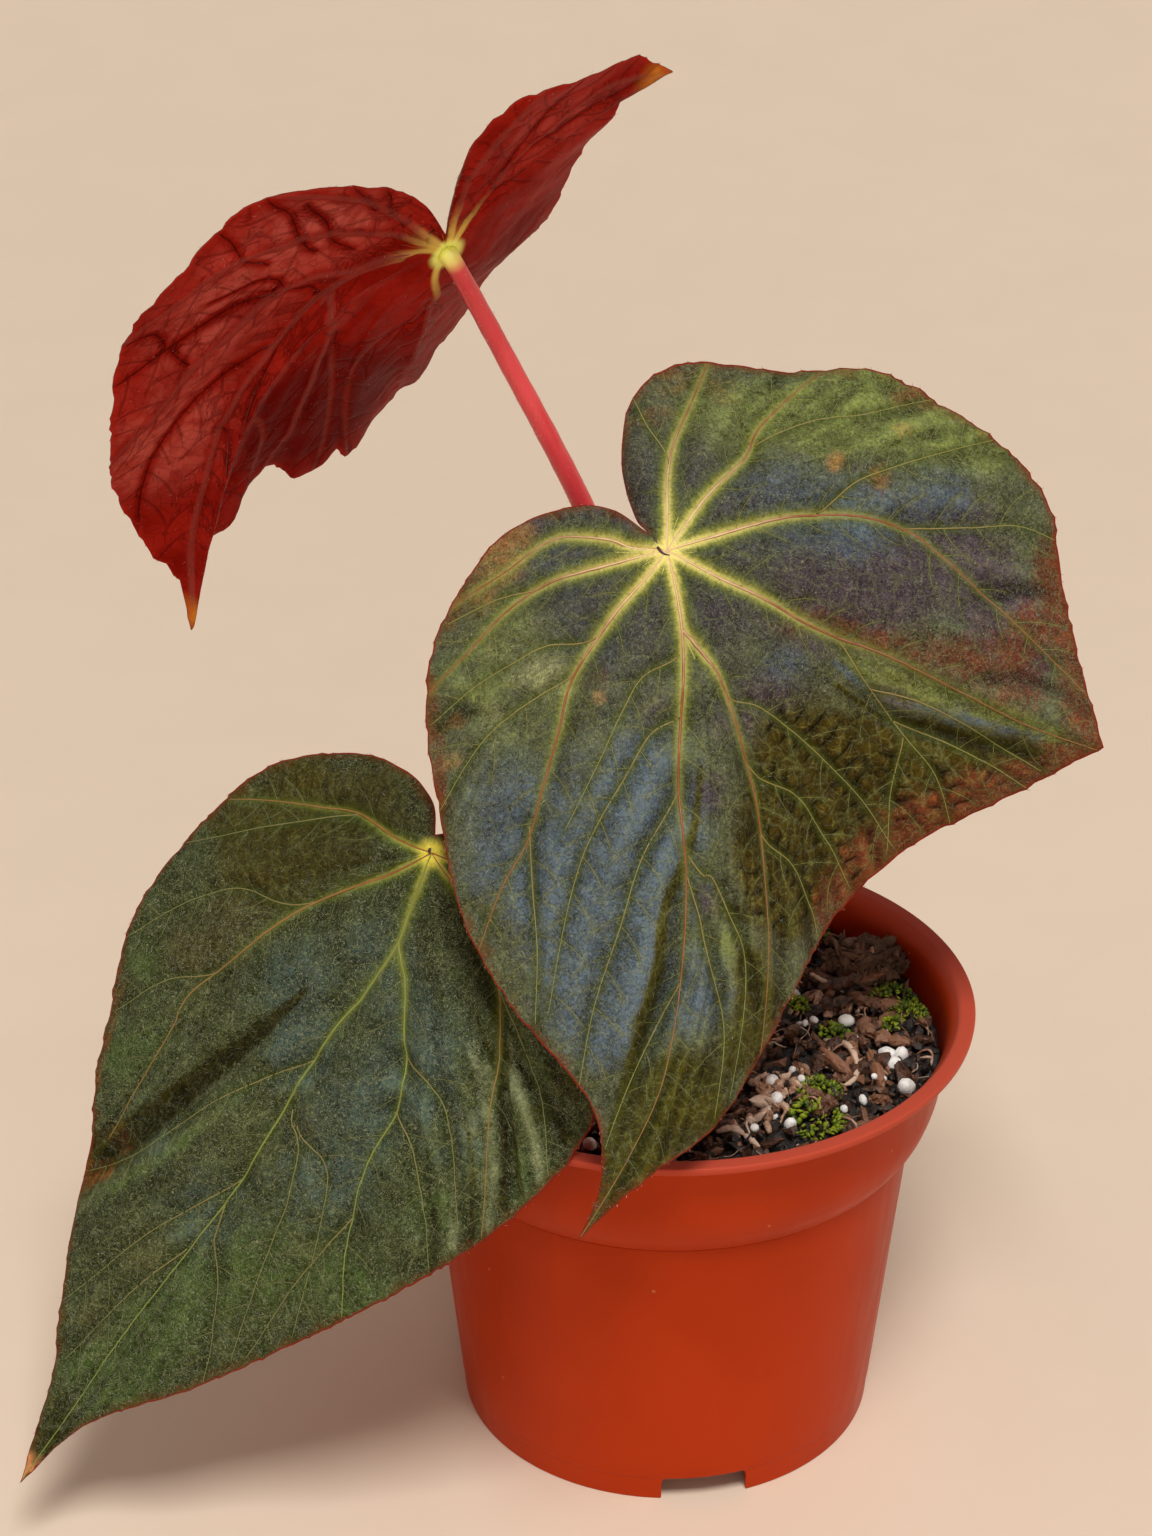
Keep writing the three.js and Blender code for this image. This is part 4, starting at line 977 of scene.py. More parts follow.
def rounded(corners, steps=4):
    """An outline with each corner cut back by its radius and rounded."""
    line = []
    for k, (x, y, radius) in enumerate(corners):
        here = np.array([x, y], float)
        if radius == 0 or k in (0, len(corners) - 1):
            line.append(here)
            continue
        before, after = (np.array(corners[k + side][:2], float) - here for side in (-1, 1))
        cut = min(radius, 0.45 * np.linalg.norm(before), 0.45 * np.linalg.norm(after))
        start, end = here + unit(before) * cut, here + unit(after) * cut
        for t in np.linspace(0, 1, steps + 1):
            line.append((1 - t) ** 2 * start + 2 * t * (1 - t) * here + t ** 2 * end)
    return np.array(line)


def subdivided(line, step):
    """The outline with its long straight stretches split."""
    points = [line[0]]
    for a, b in zip(line, line[1:]):
        count = max(1, int(np.linalg.norm(b - a) / step))
        points += [a + (b - a) * t for t in np.linspace(0, 1, count + 1)[1:]]
    return np.array(points)


def lathe(parts, line, columns, **values):
    """A closed turned body whose outline starts and ends on the axis."""
    turn = 2 * np.pi * np.arange(columns) / columns
    body = line[1:-1]
    x = body[:, :1] * np.cos(turn)
    y = body[:, :1] * np.sin(turn)
    z = np.repeat(body[:, 1:], columns, 1)
    points = np.stack([x, y, z], -1).reshape(-1, 3)
    quads, caps = ring_faces(len(body), columns)
    ends = [[0, 0, line[0][1]], [0, 0, line[-1][1]]]
    spread = {}
    for name, value in values.items():
        spread[name] = np.concatenate([np.repeat(value[1:-1], columns), value[[0, -1]]])
    parts.add(np.vstack([points, ends]), quads[:, ::-1], caps[:, ::-1], **spread)


def prism(parts, outline, place):
    """A closed prism over a polygon. place turns a point of the outline and the end, 0 or 1, into a place."""
    count = len(outline)
    points = [place(a, b, end) for end in (0, 1) for a, b in outline]
    points += [place(*np.mean(outline, axis=0), end) for end in (0, 1)]
    quads, caps = ring_faces(2, count)
    parts.add(points, quads, caps)


def notch_outline():
    """Half of it: up the notch's rounded side, with the foot's corner rounded the other way."""
    half, height, radius = NOTCH["width"] / 2, NOTCH["height"], NOTCH["round"]
    line = rounded([(half + radius, -2, 0), (half + radius, 0.001, 0), (half, 0, radius),
                    (half, height, radius), (0, height, 0)])
    return np.vstack([line, line[-2::-1] * [-1, 1]])


def make_pot(material):
    """The pot's shell, turned in one piece and then cut by the foot's notches and the drain holes."""
    line = subdivided(rounded(POT_OUTSIDE + POT_INSIDE), POT_STEP)
    parts = Parts()
    # Where the lip's painted highlight lies: the rim above LIP_LEVEL
    lip = np.clip((line[:, 1] - LIP_LEVEL) / 1.2, 0, 1)
    # Where the inside's painted shade lies: the inner wall and floor below the rim
    inner = (np.arange(len(line)) > np.argmax(line[:, 1]) + 6) * np.clip((79 - line[:, 1]) / 3, 0, 1)
    lathe(parts, line, POT_COLUMNS, lip=lip, inner=inner)
    pot = parts.build("pot_shell", [material], "pot_plastic", ["pot"])
    cutter_parts = Parts()
    near, far = NOTCH["reach"]
    for k in range(NOTCH["count"]):
        turn = math.radians(NOTCH["first"] + 360 * k / NOTCH["count"])
        out = np.array([math.cos(turn), math.sin(turn), 0])
        across = np.array([-math.sin(turn), math.cos(turn), 0])
        prism(cutter_parts, notch_outline(),
              lambda a, b, end: out * (near + (far - near) * end) + across * a + np.array([0, 0, b]))
    for k in range(DRAIN["count"]):
        turn = 2 * math.pi * k / DRAIN["count"]
        middle = DRAIN["ring"] * np.array([math.cos(turn), math.sin(turn)])
        circle = 2 * np.pi * np.arange(DRAIN["sides"]) / DRAIN["sides"]
        outline = DRAIN["radius"] * np.stack([np.cos(circle), np.sin(circle)], 1) + middle
        prism(cutter_parts, outline, lambda a, b, end: (a, b, 3 + 6 * end))
    cutter = cutter_parts.build("cutter", [], "pot_plastic")
    modifier = pot.modifiers.new("cuts", "BOOLEAN")
    modifier.operation, modifier.solver, modifier.object = "DIFFERENCE", "EXACT", cutter
    bpy.context.view_layer.update()
    cut = bpy.data.meshes.new_from_object(pot.evaluated_get(bpy.context.evaluated_depsgraph_get()))
    pot.modifiers.clear()
    pot.data = cut
    bpy.data.objects.remove(cutter)
    cut.set_sharp_from_angle(angle=math.radians(SHARP_ANGLE))
    return pot


# Soil

def soil_level(x, y):
    """The height of the soil's top, before its small lumps."""
    outward = np.hypot(x, y) / SOIL["collar"]
    lumps = np.sin(x * 0.31 + 1.3) * np.cos(y * 0.27 - 0.4) + SOIL["fine"] * np.sin(x * 0.52 - y * 0.61)
    return SOIL["wall_level"] + SOIL["crown"] * (1 - outward ** 2) + SOIL["roughness"] * lumps


def keep_in_pot(parts):
    """Draws every point of the parts back inside the pot's wall."""
    for points in parts.points:
        limit = np.interp(points[:, 2], *SOIL["wall"])
        outward = np.maximum(np.hypot(points[:, 0], points[:, 1]), 1e-6)
        points[:, :2] *= np.minimum(1, limit / outward)[:, None]
    return parts


def make_ground(material):
    """The soil's own body, with a lumpy top, and its sides just inside the pot."""
    columns, rows = 200, 76
    sides = [(35.2, 6.7), (41.0, 57.5), (43.9, 59.2), (45.4, 62.0)]
    radii = [r for r, _ in sides] + list(np.linspace(SOIL["edge"], 1.0, rows))
    turn = 2 * np.pi * np.arange(columns) / columns
    x = np.outer(radii, np.cos(turn))
    y = np.outer(radii, np.sin(turn))
    z = soil_level(x, y)
    top = np.stack([x, y, z], -1)[len(sides):].reshape(-1, 3)
    lumps = 1.3 * rough(top, 0.28, 1) + 1.1 * np.abs(rough(top, 0.6, 2)) + 0.55 * rough(top, 1.4, 3)
    z[len(sides):] += lumps.reshape(rows, columns) - 0.9
    for k, (_, level) in enumerate(sides):
        z[k] = level
    points = np.stack([x, y, z], -1).reshape(-1, 3)
    quads, caps = ring_faces(len(radii), columns)
    ends = [[0, 0, sides[0][1]], [0, 0, float(z[-1].mean())]]
    parts = Parts()
    parts.add(np.vstack([points, ends]), quads, caps, shade=0.0)
    parts.build("soil_ground", [material], "soil", ["potting_soil"])


def ball(level):
    """The points and triangles of a ball made from a split icosahedron."""
    mesh = bmesh.new()
    bmesh.ops.create_icosphere(mesh, subdivisions=level, radius=1.0)
    points = np.array([v.co[:] for v in mesh.verts])
    faces = np.array([[v.index for v in f.verts] for f in mesh.faces])
    mesh.free()
    return points, faces


def turned(rng, count):
    """Random rotation matrices."""
    q = unit(rng.normal(size=(count, 4)))
    w, x, y, z = q.T
    return np.stack([
        np.stack([1 - 2 * (y * y + z * z), 2 * (x * y - z * w), 2 * (x * z + y * w)], -1),
        np.stack([2 * (x * y + z * w), 1 - 2 * (x * x + z * z), 2 * (y * z - x * w)], -1),
        np.stack([2 * (x * z - y * w), 2 * (y * z + x * w), 1 - 2 * (x * x + y * y)], -1)], -2)


def spots(rng, count, farthest, near=None, reach=0):
    """Places on the soil: over all of it, or round a named place."""
    radius = (farthest if near is None else reach) * np.sqrt(rng.random(count))
    turn = 2 * np.pi * rng.random(count)
    x, y = radius * np.cos(turn), radius * np.sin(turn)
    if near is not None:
        x, y = x + near[0], y + near[1]
        out = np.maximum(np.hypot(x, y) / farthest, 1)
        x, y = x / out, y / out
    return np.stack([x, y, soil_level(x, y)], 1)


def lumps(parts, rng, places, size, shape, level=1, jag=0.3, lift=0.0):
    """A rough grain at each place. Its size and its three sides, in shape, are drawn between two values
    each. level is how often the ball under it is split, and jag how far its corners stray."""
    points, faces = ball(level)
    count = len(places)
    scale = rng.uniform(*size, count)
    sides = np.stack([rng.uniform(*s, count) for s in shape], 1) * scale[:, None]
    grains = points[None] * (1 + jag * rng.normal(size=(count, len(points), 1)).clip(-1.6, 1.6))
    grains = np.einsum("nij,nvj->nvi", turned(rng, count), grains * sides[:, None])
    middle = places + np.array([0, 0, 1]) * (scale[:, None] * GRAIN_LIFT + lift)
    grains += middle[:, None]
    triangles = (faces[None] + len(points) * np.arange(count)[:, None, None]).reshape(-1, 3)
    shade = np.repeat(rng.random(count) ** 2, len(points))
    parts.add(grains.reshape(-1, 3), (), triangles, shade=shade)


def make_crumbs(materials):
    """Loose grains: dark crumbs, brown and pale bark and white perlite."""
    rng = np.random.default_rng(7)
    dark, brown, tan, white = (Parts() for _ in range(4))
    lumps(dark, rng, spots(rng, 2300, 46), (0.4, 1.3), [(0.7, 1.3), (0.5, 1.0), (0.35, 0.8)])
    lumps(brown, rng, spots(rng, 900, 45.5), (0.5, 1.6), [(0.9, 1.9), (0.4, 0.8), (0.3, 0.6)])
    lumps(brown, rng, spots(rng, 90, 44), (1.6, 3.4), [(1.0, 1.6), (0.4, 0.7), (0.25, 0.45)], 3, 0.07)
    lumps(tan, rng, spots(rng, 170, 45), (0.4, 1.1), [(0.9, 1.8), (0.5, 0.9), (0.3, 0.6)])
    for x, y, reach, count in TAN_PATCHES:
        near = spots(rng, count, 44, near=(x, y), reach=reach)
        lumps(tan, rng, near, (0.5, 1.5), [(1.0, 1.9), (0.5, 0.9), (0.3, 0.6)], 2, 0.13, lift=0.7)
    lumps(white, rng, spots(rng, 60, 45), (0.25, 0.8), [(0.8, 1.2)] * 3, 2, 0.08)
    for x, y, size, sides in PERLITE:
        place = np.array([[x, y, soil_level(x, y)]])
        shape = [(0.9, sides), (0.85, 1.1), (0.85, 1.1)]
        lumps(white, rng, place, (size, size), shape, 3, 0.035, lift=1.0)
    names = ("crumbs", "bark", "tan_bark", "perlite")
    for parts, name, material in zip((dark, brown, tan, white), names, materials):
        keep_in_pot(parts).build(name, [material], "soil", smooth=name == "perlite")


def make_clump(materials):
    """The big lump of old bark by the back wall: shards of all sizes packed round its middle."""
    rng = np.random.default_rng(11)
    middle, reach = np.array(CLUMP["middle"]), np.array(CLUMP["reach"])
    brown, tan = Parts(), Parts()
    lumps(brown, rng, middle[None], (1, 1), [(r, r) for r in reach * 0.8], 4, 0.035)
    for parts, count, size in ((brown, 330, (0.6, 1.9)), (tan, 36, (0.4, 1.0))):
        away = unit(rng.normal(size=(count, 3))) * rng.uniform(0.75, 1.0, (count, 1))
        away[:, 2] = np.abs(away[:, 2])
        lumps(parts, rng, middle + away * reach, size, [(0.9, 2.0), (0.4, 0.8), (0.25, 0.5)], jag=0.28)
    for parts, name, material in zip((brown, tan), ("clump", "clump_flakes"), materials):
        keep_in_pot(parts).build(name, [material], "soil", smooth=False)


def make_chips(material):
    """Bark chips, the largest ones in set places: flat, ridged along their length, with blunt ends."""
    rng = np.random.default_rng(19)
    parts = Parts()
    places = spots(rng, 110, 42)
    places[:len(BIG_CHIPS)] = [(x, y, soil_level(x, y)) for x, y, _ in BIG_CHIPS]
    for k, place in enumerate(places):
        big = k < len(BIG_CHIPS)
        length = rng.uniform(8, 13) if big else rng.uniform(3, 7)
        width, thick = length * rng.uniform(0.14, 0.26), rng.uniform(0.6, 1.3)
        steps = 14
        t = np.linspace(-0.5, 0.5, steps)
        turn = math.radians(BIG_CHIPS[k][2]) if big else rng.uniform(0, 2 * np.pi)
        pitch = rng.uniform(-0.2, 0.4)
        level = math.cos(pitch)
        along = np.array([math.cos(turn) * level, math.sin(turn) * level, math.sin(pitch)])
        bend = unit(np.cross(along, [0, 0, 1])) * rng.uniform(-0.14, 0.14) * length
        path = place + along * length * t[:, None] + bend * (4 * t[:, None] ** 2)
        path = path + [0, 0, rng.uniform(0.6, 1.6)]
        swell = (1 - (2 * np.abs(t)) ** 3) ** 0.5 * 0.8 + 0.22
        radii = 0.5 * width * swell * (1 + 0.22 * rng.normal(size=steps)).clip(0.5, 1.4)
        tube(parts, path, radii, sides=10, flat=2 * thick / width, shade=rng.random() ** 1.5)
    points = np.concatenate(parts.points)
    ridges = rough(points * [1, 1, 1.6], 1.1, 5)
    shift = 0.3 * ridges[:, None] * unit(rng.normal(size=(1, 3)))
    parts.points = [points + shift + 0.16 * rng.normal(size=points.shape)]
    keep_in_pot(parts).build("bark_chips", [material], "soil", smooth=False)


def make_fibres(material):
    """Thin roots and fibres that curl over the soil, the thickest ones in set places."""
    rng = np.random.default_rng(23)
    parts = Parts()
    for points, radius in ROOTLETS:
        x, y, lift = np.array(points, float).T
        line, _ = spline(np.column_stack([x, y, soil_level(x, y) + lift]), 26)
        taper = np.interp(np.linspace(0, 1, len(line)), [0, 0.2, 0.85, 1], [0.6, 1, 1, 0.3])
        radii = radius * (1 + 0.15 * rng.normal(size=len(line))) * taper
        tube(parts, line, radii, sides=8, up=(0.2, 0.1, 1), shade=0.8)
    for place in spots(rng, 150, 43):
        length, turn = rng.uniform(4, 14), rng.uniform(0, 2 * np.pi)
        steps = 14
        t = np.linspace(0, 1, steps)
        curl = turn + np.cumsum(rng.normal(0, 0.3, steps))
        step = np.stack([np.cos(curl), np.sin(curl)], 1) * length / steps
        xy = place[:2] + np.cumsum(step, 0)
        xy /= np.maximum(np.hypot(*xy.T) / 45.5, 1)[:, None]
        hop = rng.uniform(0.2, 1.8) * np.sin(np.pi * t) + 0.45 + 0.25 * np.sin(9 * t + turn)
        path = np.column_stack([xy, soil_level(*xy.T) + hop])
        radii = rng.uniform(0.08, 0.28) * (1 - 0.6 * np.abs(2 * t - 1) ** 2)
        tube(parts, path, radii, sides=6, up=(0.2, 0.1, 1), shade=rng.random() ** 2)
    keep_in_pot(parts).build("fibres", [material], "soil")


def make_moss(material):
    """Moss cushions: many small round leaflets that point up and out from low mounds."""
    rng = np.random.default_rng(31)
    parts = Parts()
    points, faces = ball(1)
    for x, y, reach, height in MOSS:
        count = int(30 * reach)
        places = spots(rng, count, 45, near=(x, y), reach=reach)
        inner = 1 - ((places[:, 0] - x) ** 2 + (places[:, 1] - y) ** 2) / reach ** 2
        places[:, 2] += height * np.maximum(inner, 0) * rng.uniform(0.5, 1.1, count) + 0.4
        out = np.column_stack([places[:, :2] - [x, y], np.full(count, 1.6)])
        out = unit(out + rng.normal(0, 1.0, (count, 3)))
        lean = unit(rng.normal(size=(count, 3)))
        size = rng.uniform(0.55, 1.35, count)
        wide = unit(np.cross(out, lean))
        thin = np.cross(out, wide)
        leaflet = (points[None, :, :1] * out[:, None] * 0.62 + points[None, :, 1:2] * wide[:, None] * 0.5
                   + points[None, :, 2:] * thin[:, None] * 0.2) * size[:, None, None]
        leaflet += places[:, None] + out[:, None] * 0.35
        triangles = (faces[None] + len(points) * np.arange(count)[:, None, None]).reshape(-1, 3)
        parts.add(leaflet.reshape(-1, 3), (), triangles)
    keep_in_pot(parts).build("moss_cushions", [material], "soil")


def make_soil():
    """The soil's body and all that lies on it."""
    peat, brown, tan, old = (earth_material(name, *look) for name, look in EARTHS.items())
    make_ground(peat)
    make_crumbs([peat, brown, tan, perlite_material()])
    make_clump([old, tan])
    make_chips(brown)
    make_fibres(tan)
    make_moss(moss_material())


# Creeping stem

def stem_line(count):
    """Points along the middle of the creeping stem."""
    middle = (STEM_FROM + STEM_TO) / 2 + STEM_BOW
    t = np.linspace(0, 1, count)[:, None]
    return (1 - t) ** 2 * STEM_FROM + 2 * t * (1 - t) * middle + t ** 2 * STEM_TO


def make_rhizome(material, scale_material):
    """The creeping stem with the stubs that the stalks grow from, and the dry scales on it."""
    rng = np.random.default_rng(41)
    steps, sides = 90, 40
    line = stem_line(steps)
    t = np.linspace(0, 1, steps)
    ends = np.sqrt(np.maximum(0.12, 1 - (2 * t - 1) ** 6))
    radii = STEM_RADIUS * ends * (1 + 0.07 * np.cos(10 * np.pi * t) + 0.02 * np.cos(46 * np.pi * t))
    parts = Parts()
    tube(parts, line, radii, sides)
    for spec in LEAVES.values():
        foot = np.array(spec["route"][0], float)
        heading = unit(np.array(spec["route"][1], float) - foot)
        root = line[np.argmin(np.linalg.norm(line - foot, axis=1))]
        stub, _ = spline([root, foot - heading * 3, foot + heading * 0.5], 24)
        share = np.linspace(0, 1, len(stub))
        ridge = 1 + 0.05 * np.cos(share * 30)
        tube(parts, stub, (4.2 - 0.8 * share) * ridge, 32, up=(0.3, 1, 0.1))
    points = np.concatenate(parts.points)
    crust = 0.35 * rough(points, 0.7, 8) + 0.16 * rough(points, 2.2, 9)
    parts.points = [points + crust[:, None] * unit(points - line[np.full(len(points), steps // 2)])]
    parts.build("creeping_stem", [material], "stem_bark", ["rhizome"])
    scales = Parts()
    for _ in range(STEM_SCALES):
        s = rng.integers(6, steps - 6)
        around = rng.uniform(0.15, math.pi - 0.15)
        along = unit(line[s + 1] - line[s - 1])
        side = unit(np.cross(along, [0, 0, 1]))
        rise = np.cross(side, along)
        out = side * math.cos(around) + rise * math.sin(around)
        root = line[s] + out * radii[s] * 0.93
        lean = unit(along * rng.choice([-1, 1]) + out * rng.uniform(0.5, 1.1))
        length = rng.uniform(3, 6.5)
        t = np.linspace(0, 1, 9)
        path = root + lean * length * t[:, None] + out * (0.9 * t[:, None] ** 2)
        tube(scales, path, 1.5 * (1 - t ** 1.6) + 0.08, 10, up=out, flat=0.12)
    scales.build("stem_scales", [scale_material], "stem_bark")


# Stalks

def make_stalk(name, leaf, material, fuzz):
    """A leaf's stalk, thicker at its foot, that meets the blade square on, and the hairs on it."""
    spec = leaf.spec
    facing = leaf.turn @ np.array([0, 0, 1.0])
    head = leaf.junction
    line, length = spline([*spec["route"], head - facing * 1.6, head - facing * 0.1], 150, centripetal=True)
    line[0] -= unit(line[1] - line[0]) * 0.4
    run = np.linspace(0, length, len(line))
    radii = STALK["radius"] - STALK["taper"] * (run / length) ** 2 + STALK["foot"] * np.exp(-run / 9)
    radii = radii + STALK["head"] * np.exp(-((length - run) / 1.2) ** 2)
    rng = np.random.default_rng(sum(map(ord, name)))
    radii *= 1 + 0.012 * np.sin(run * 0.9) + 0.006 * rng.normal(size=len(run))
    parts = Parts()
    tube(parts, line, radii, 28, up=(0, 1, 0), from_head=length - run, from_foot=run)
    parts.build(f"petiole_{name}_stalk", [material], "stalk_red", [f"petiole_{name}"])
    count = int(length * STALK["hairs"])
    at = rng.integers(2, len(line) - 4, count)
    along = unit(np.gradient(line, axis=0))[at]
    side = unit(np.cross(along, [0, 1.0, 0]))
    turn = rng.uniform(0, 2 * np.pi, count)[:, None]
    out = side * np.cos(turn) + np.cross(side, along) * np.sin(turn)
    hair_parts = Parts()
    hairs(hair_parts, line[at] + out * radii[at][:, None], unit(out + 0.4 * rng.normal(size=out.shape)),
          unit(along + 0.5 * rng.normal(size=out.shape)), rng.uniform(0.35, 0.9, count), 0.022)
    hair_parts.build(f"petiole_{name}_hairs", [fuzz], "stalk_red")


# Leaves

def rotation(turn, tip):
    """The matrix that tips a blade's plane about x and then turns it about z, in degrees."""
    a, b = math.radians(turn), math.radians(tip)
    about_z = np.array([[math.cos(a), -math.sin(a), 0], [math.sin(a), math.cos(a), 0], [0, 0, 1]])
    about_x = np.array([[1, 0, 0], [0, math.cos(b), -math.sin(b)], [0, math.sin(b), math.cos(b)]])
    return about_z @ about_x


def nearest(points, tree):
    """For each point, the distance to the tree's nearest entry and that entry's number."""
    found = [tree.find(p) for p in points]
    return np.array([f[2] for f in found]), np.array([f[1] for f in found])


def tree_of(points):
    """A search tree over the points."""
    tree = KDTree(len(points))
    for k, point in enumerate(points):
        tree.insert(point, k)
    tree.balance()
    return tree


def smooth(field, rounds):
    """A fan's grid of numbers, each averaged with its neighbours a few times."""
    for _ in range(rounds):
        field = (field + np.roll(field, 1, 1) + np.roll(field, -1, 1)) / 3
        field[1:-1] = (field[1:-1] + field[:-2] + field[2:]) / 3
    return field


def normals(grid):
    """Unit normals of a fan's grid, on the side of the blade's own +z."""
    inner = grid[1:]
    out = np.gradient(inner, axis=0)
    along = np.roll(inner, -1, axis=1) - np.roll(inner, 1, axis=1)
    normal = unit(np.cross(out, along))
    normal = np.where(normal[..., 2:] < 0, -normal, normal)
    return np.concatenate([normal[:1], normal])


class Leaf:
    """One blade: its fan of spokes, its veins, its relief and what grows on it."""

    def __init__(self, name, spec):
        self.name, self.spec = name, spec
        self.junction = np.array(spec["junction"], float)
        self.turn = rotation(spec["turn"], spec["tip"])
        self.rng = np.random.default_rng(sum(map(ord, name)) * 3)
        self.spokes, rings = spec["grid"]
        self.outs = np.concatenate([np.linspace(0, RIM_SHARE, rings + 1 - len(EDGE_RINGS)), EDGE_RINGS])
        self.lay_fan()
        self.lay_veins()
        self.measure()
        self.fill_zones()
        self.raise_relief()

    def lay_fan(self):
        """The blade's base: a grid of spokes that bend from the junction to the margin, as in the solid."""
        spec = self.spec
        lengths = [spline(arc, 8)[1] for arc in spec["arcs"]]
        counts = [round(self.spokes * length / sum(lengths)) for length in lengths]
        counts[-1] = self.spokes - sum(counts[:-1])
        self.length = sum(lengths)
        margin = np.vstack([spline(arc, n)[0][:-1] for arc, n in zip(spec["arcs"], counts)])
        self.corners = np.cumsum([0] + counts)
        angles = np.degrees(np.unwrap(np.arctan2(margin[:, 1], margin[:, 0])))
        angles += 360 * round((spec["starts"][0] - angles[0]) / 360)
        keys, starts, ribs = [0], [spec["starts"][0]], [0]
        for k, fan in enumerate(spec["fan"]):
            low, high = self.corners[k], self.corners[k + 1]
            for angle, start, rib in fan:
                keys.append(low + int(np.argmin(abs(angles[low:high] - angle))))
                starts.append(start)
                ribs.append(rib)
            keys.append(high)
            starts.append(spec["starts"][k + 1])
            ribs.append(1 if high < self.spokes else 0)
        spoke = np.arange(self.spokes)
        start = np.interp(spoke, keys, starts)
        self.clockwise = starts[-1] < starts[0]
        q = self.outs[:, None]
        unbent = (1 - spec["bow"]) * (1 - q) + spec["bow"] * (1 - q) ** 2
        angle = np.radians(angles + (start - angles) * unbent)
        self.reach = np.hypot(margin[:, 0], margin[:, 1])
        self.teeth = self.draw_teeth()
        rim = np.clip((q - 0.975) / 0.025, 0, 1)
        radius = self.reach * q + self.teeth * rim
        fold_lines = [key for key, rib in zip(keys, ribs) if rib] + [self.spokes]
        fold_lines = np.array([0] + sorted(set(fold_lines)))
        panel = np.searchsorted(fold_lines, spoke, side="right") - 1
        width = fold_lines[panel + 1] - fold_lines[panel]
        share = (spoke - fold_lines[panel]) / width
        fullness = np.minimum(1, width * CAD_SPOKES / self.spokes / FULL_PANEL)
        pleat = PLEAT * spec["panels"] * fullness * np.sin(np.pi * share) * 4 * q * (1 - q)
        calm = 1 - np.max([np.exp(-((spoke - c) / 8.0) ** 2) for c in self.corners], axis=0)
        ruffle = RUFFLE * np.sin(2 * np.pi * RUFFLES * spoke / self.spokes) * calm * q ** 5
        lift = margin[:, 2] * q ** 1.6 + pleat + ruffle
        self.base = np.stack([radius * np.cos(angle), radius * np.sin(angle), lift], -1)

    def draw_teeth(self):
        """Shallow scallops of uneven width with small teeth between them, none beside the sinus."""
        run = np.concatenate([[0], np.cumsum(self.rng.uniform(5.0, 8.0, 80))])
        along = np.linspace(0, self.length, self.spokes)
        scallop = np.interp(along, run, np.arange(len(run))) % 1
        height = self.rng.uniform(0.35, 1.0, len(run))[np.searchsorted(run, along, side="right") - 1]
        wave = self.spec["scallop"] * height * (np.sin(np.pi * scallop) ** 0.6 - 0.5)
        toothed = self.rng.random(self.spokes) < 0.3
        toothed[:7] = toothed[-6:] = False
        self.tooth_spokes = np.flatnonzero(toothed)
        teeth = np.zeros(self.spokes)
        teeth[self.tooth_spokes] = self.rng.uniform(0.05, 0.32, len(self.tooth_spokes))
        return (teeth + wave) * np.clip(self.reach / 30, 0, 1)

    def at(self, grid, around, out):
        """Points of a grid at thousandths round the margin and hundredths out."""
        spoke = (np.asarray(around, float) / 1000 * self.spokes) % self.spokes
        ring = np.interp(np.asarray(out, float) / 100, self.outs, np.arange(len(self.outs)))
        s0, r0 = np.floor(spoke).astype(int), np.minimum(np.floor(ring).astype(int), len(self.outs) - 2)
        ds, dr = (spoke - s0)[:, None], (ring - r0)[:, None]
        s0, s1 = s0 % self.spokes, (s0 + 1) % self.spokes
        low = grid[r0, s0] * (1 - ds) + grid[r0, s1] * ds
        high = grid[r0 + 1, s0] * (1 - ds) + grid[r0 + 1, s1] * ds
        return low * (1 - dr) + high * dr

    def path(self, points, step=VEIN_STEP):
        """A smooth path over the fan, close enough together to follow the blade."""
        around, out = np.array(points, float).T
        length = np.linalg.norm(np.diff(self.at(self.base, around, out), axis=0), axis=1).sum()
        line, _ = spline(np.column_stack([around, out * 4]), max(6, int(length / step)))
        return np.column_stack([line[:, 0], np.clip(line[:, 1] / 4, 0, 99.6)])

    def lay_veins(self):
        """The veins of all three ranks, as paths over the fan."""
        self.veins = {1: [self.path(v) for v in self.spec["primaries"]],
                      2: [self.path(v) for v in self.spec["secondaries"]]}
        self.veins[3] = self.grow_side_veins()

    def grow_side_veins(self):
        """Small veins from both sides of each vein. They curve towards the margin and stop near another."""
        gap, reach = self.spec["side_veins"]
        spots, headings, bends = [], [], []
        for path in self.veins[1] + self.veins[2]:
            line = self.at(self.base, *path.T)[:, :2]
            along = unit(np.gradient(line, axis=0))
            run = np.concatenate([[0], np.cumsum(np.linalg.norm(np.diff(line, axis=0), axis=1))])
            place, side = self.rng.uniform(0.5, 1) * gap, self.rng.choice([-1, 1])
            while place < run[-1] - 3:
                k = int(np.searchsorted(run, place))
                turn = side * math.radians(self.rng.uniform(48, 68))
                x, y = along[k]
                sine, cosine = math.sin(turn), math.cos(turn)
                headings.append([x * cosine - y * sine, x * sine + y * cosine])
                spots.append(path[k])
                bends.append(-side * math.radians(self.rng.uniform(1.5, 5)))
                place += gap * self.rng.uniform(0.35, 0.75)
                side = -side
        spots, headings, bends = np.array(spots), np.array(headings), np.array(bends)
        trails = [spots]
        for _ in range(int(reach / VEIN_STEP)):
            spots = spots + self.shift(spots, headings * VEIN_STEP)
            sine, cosine = np.sin(bends), np.cos(bends)
            headings = np.stack([headings[:, 0] * cosine - headings[:, 1] * sine,
                                 headings[:, 0] * sine + headings[:, 1] * cosine], 1)
            trails.append(spots)
        trails = np.stack(trails, 1)
        others = tree_of(np.concatenate([self.at(self.base, *v.T) for v in self.veins[1] + self.veins[2]]))
        grown = []
        for trail in trails:
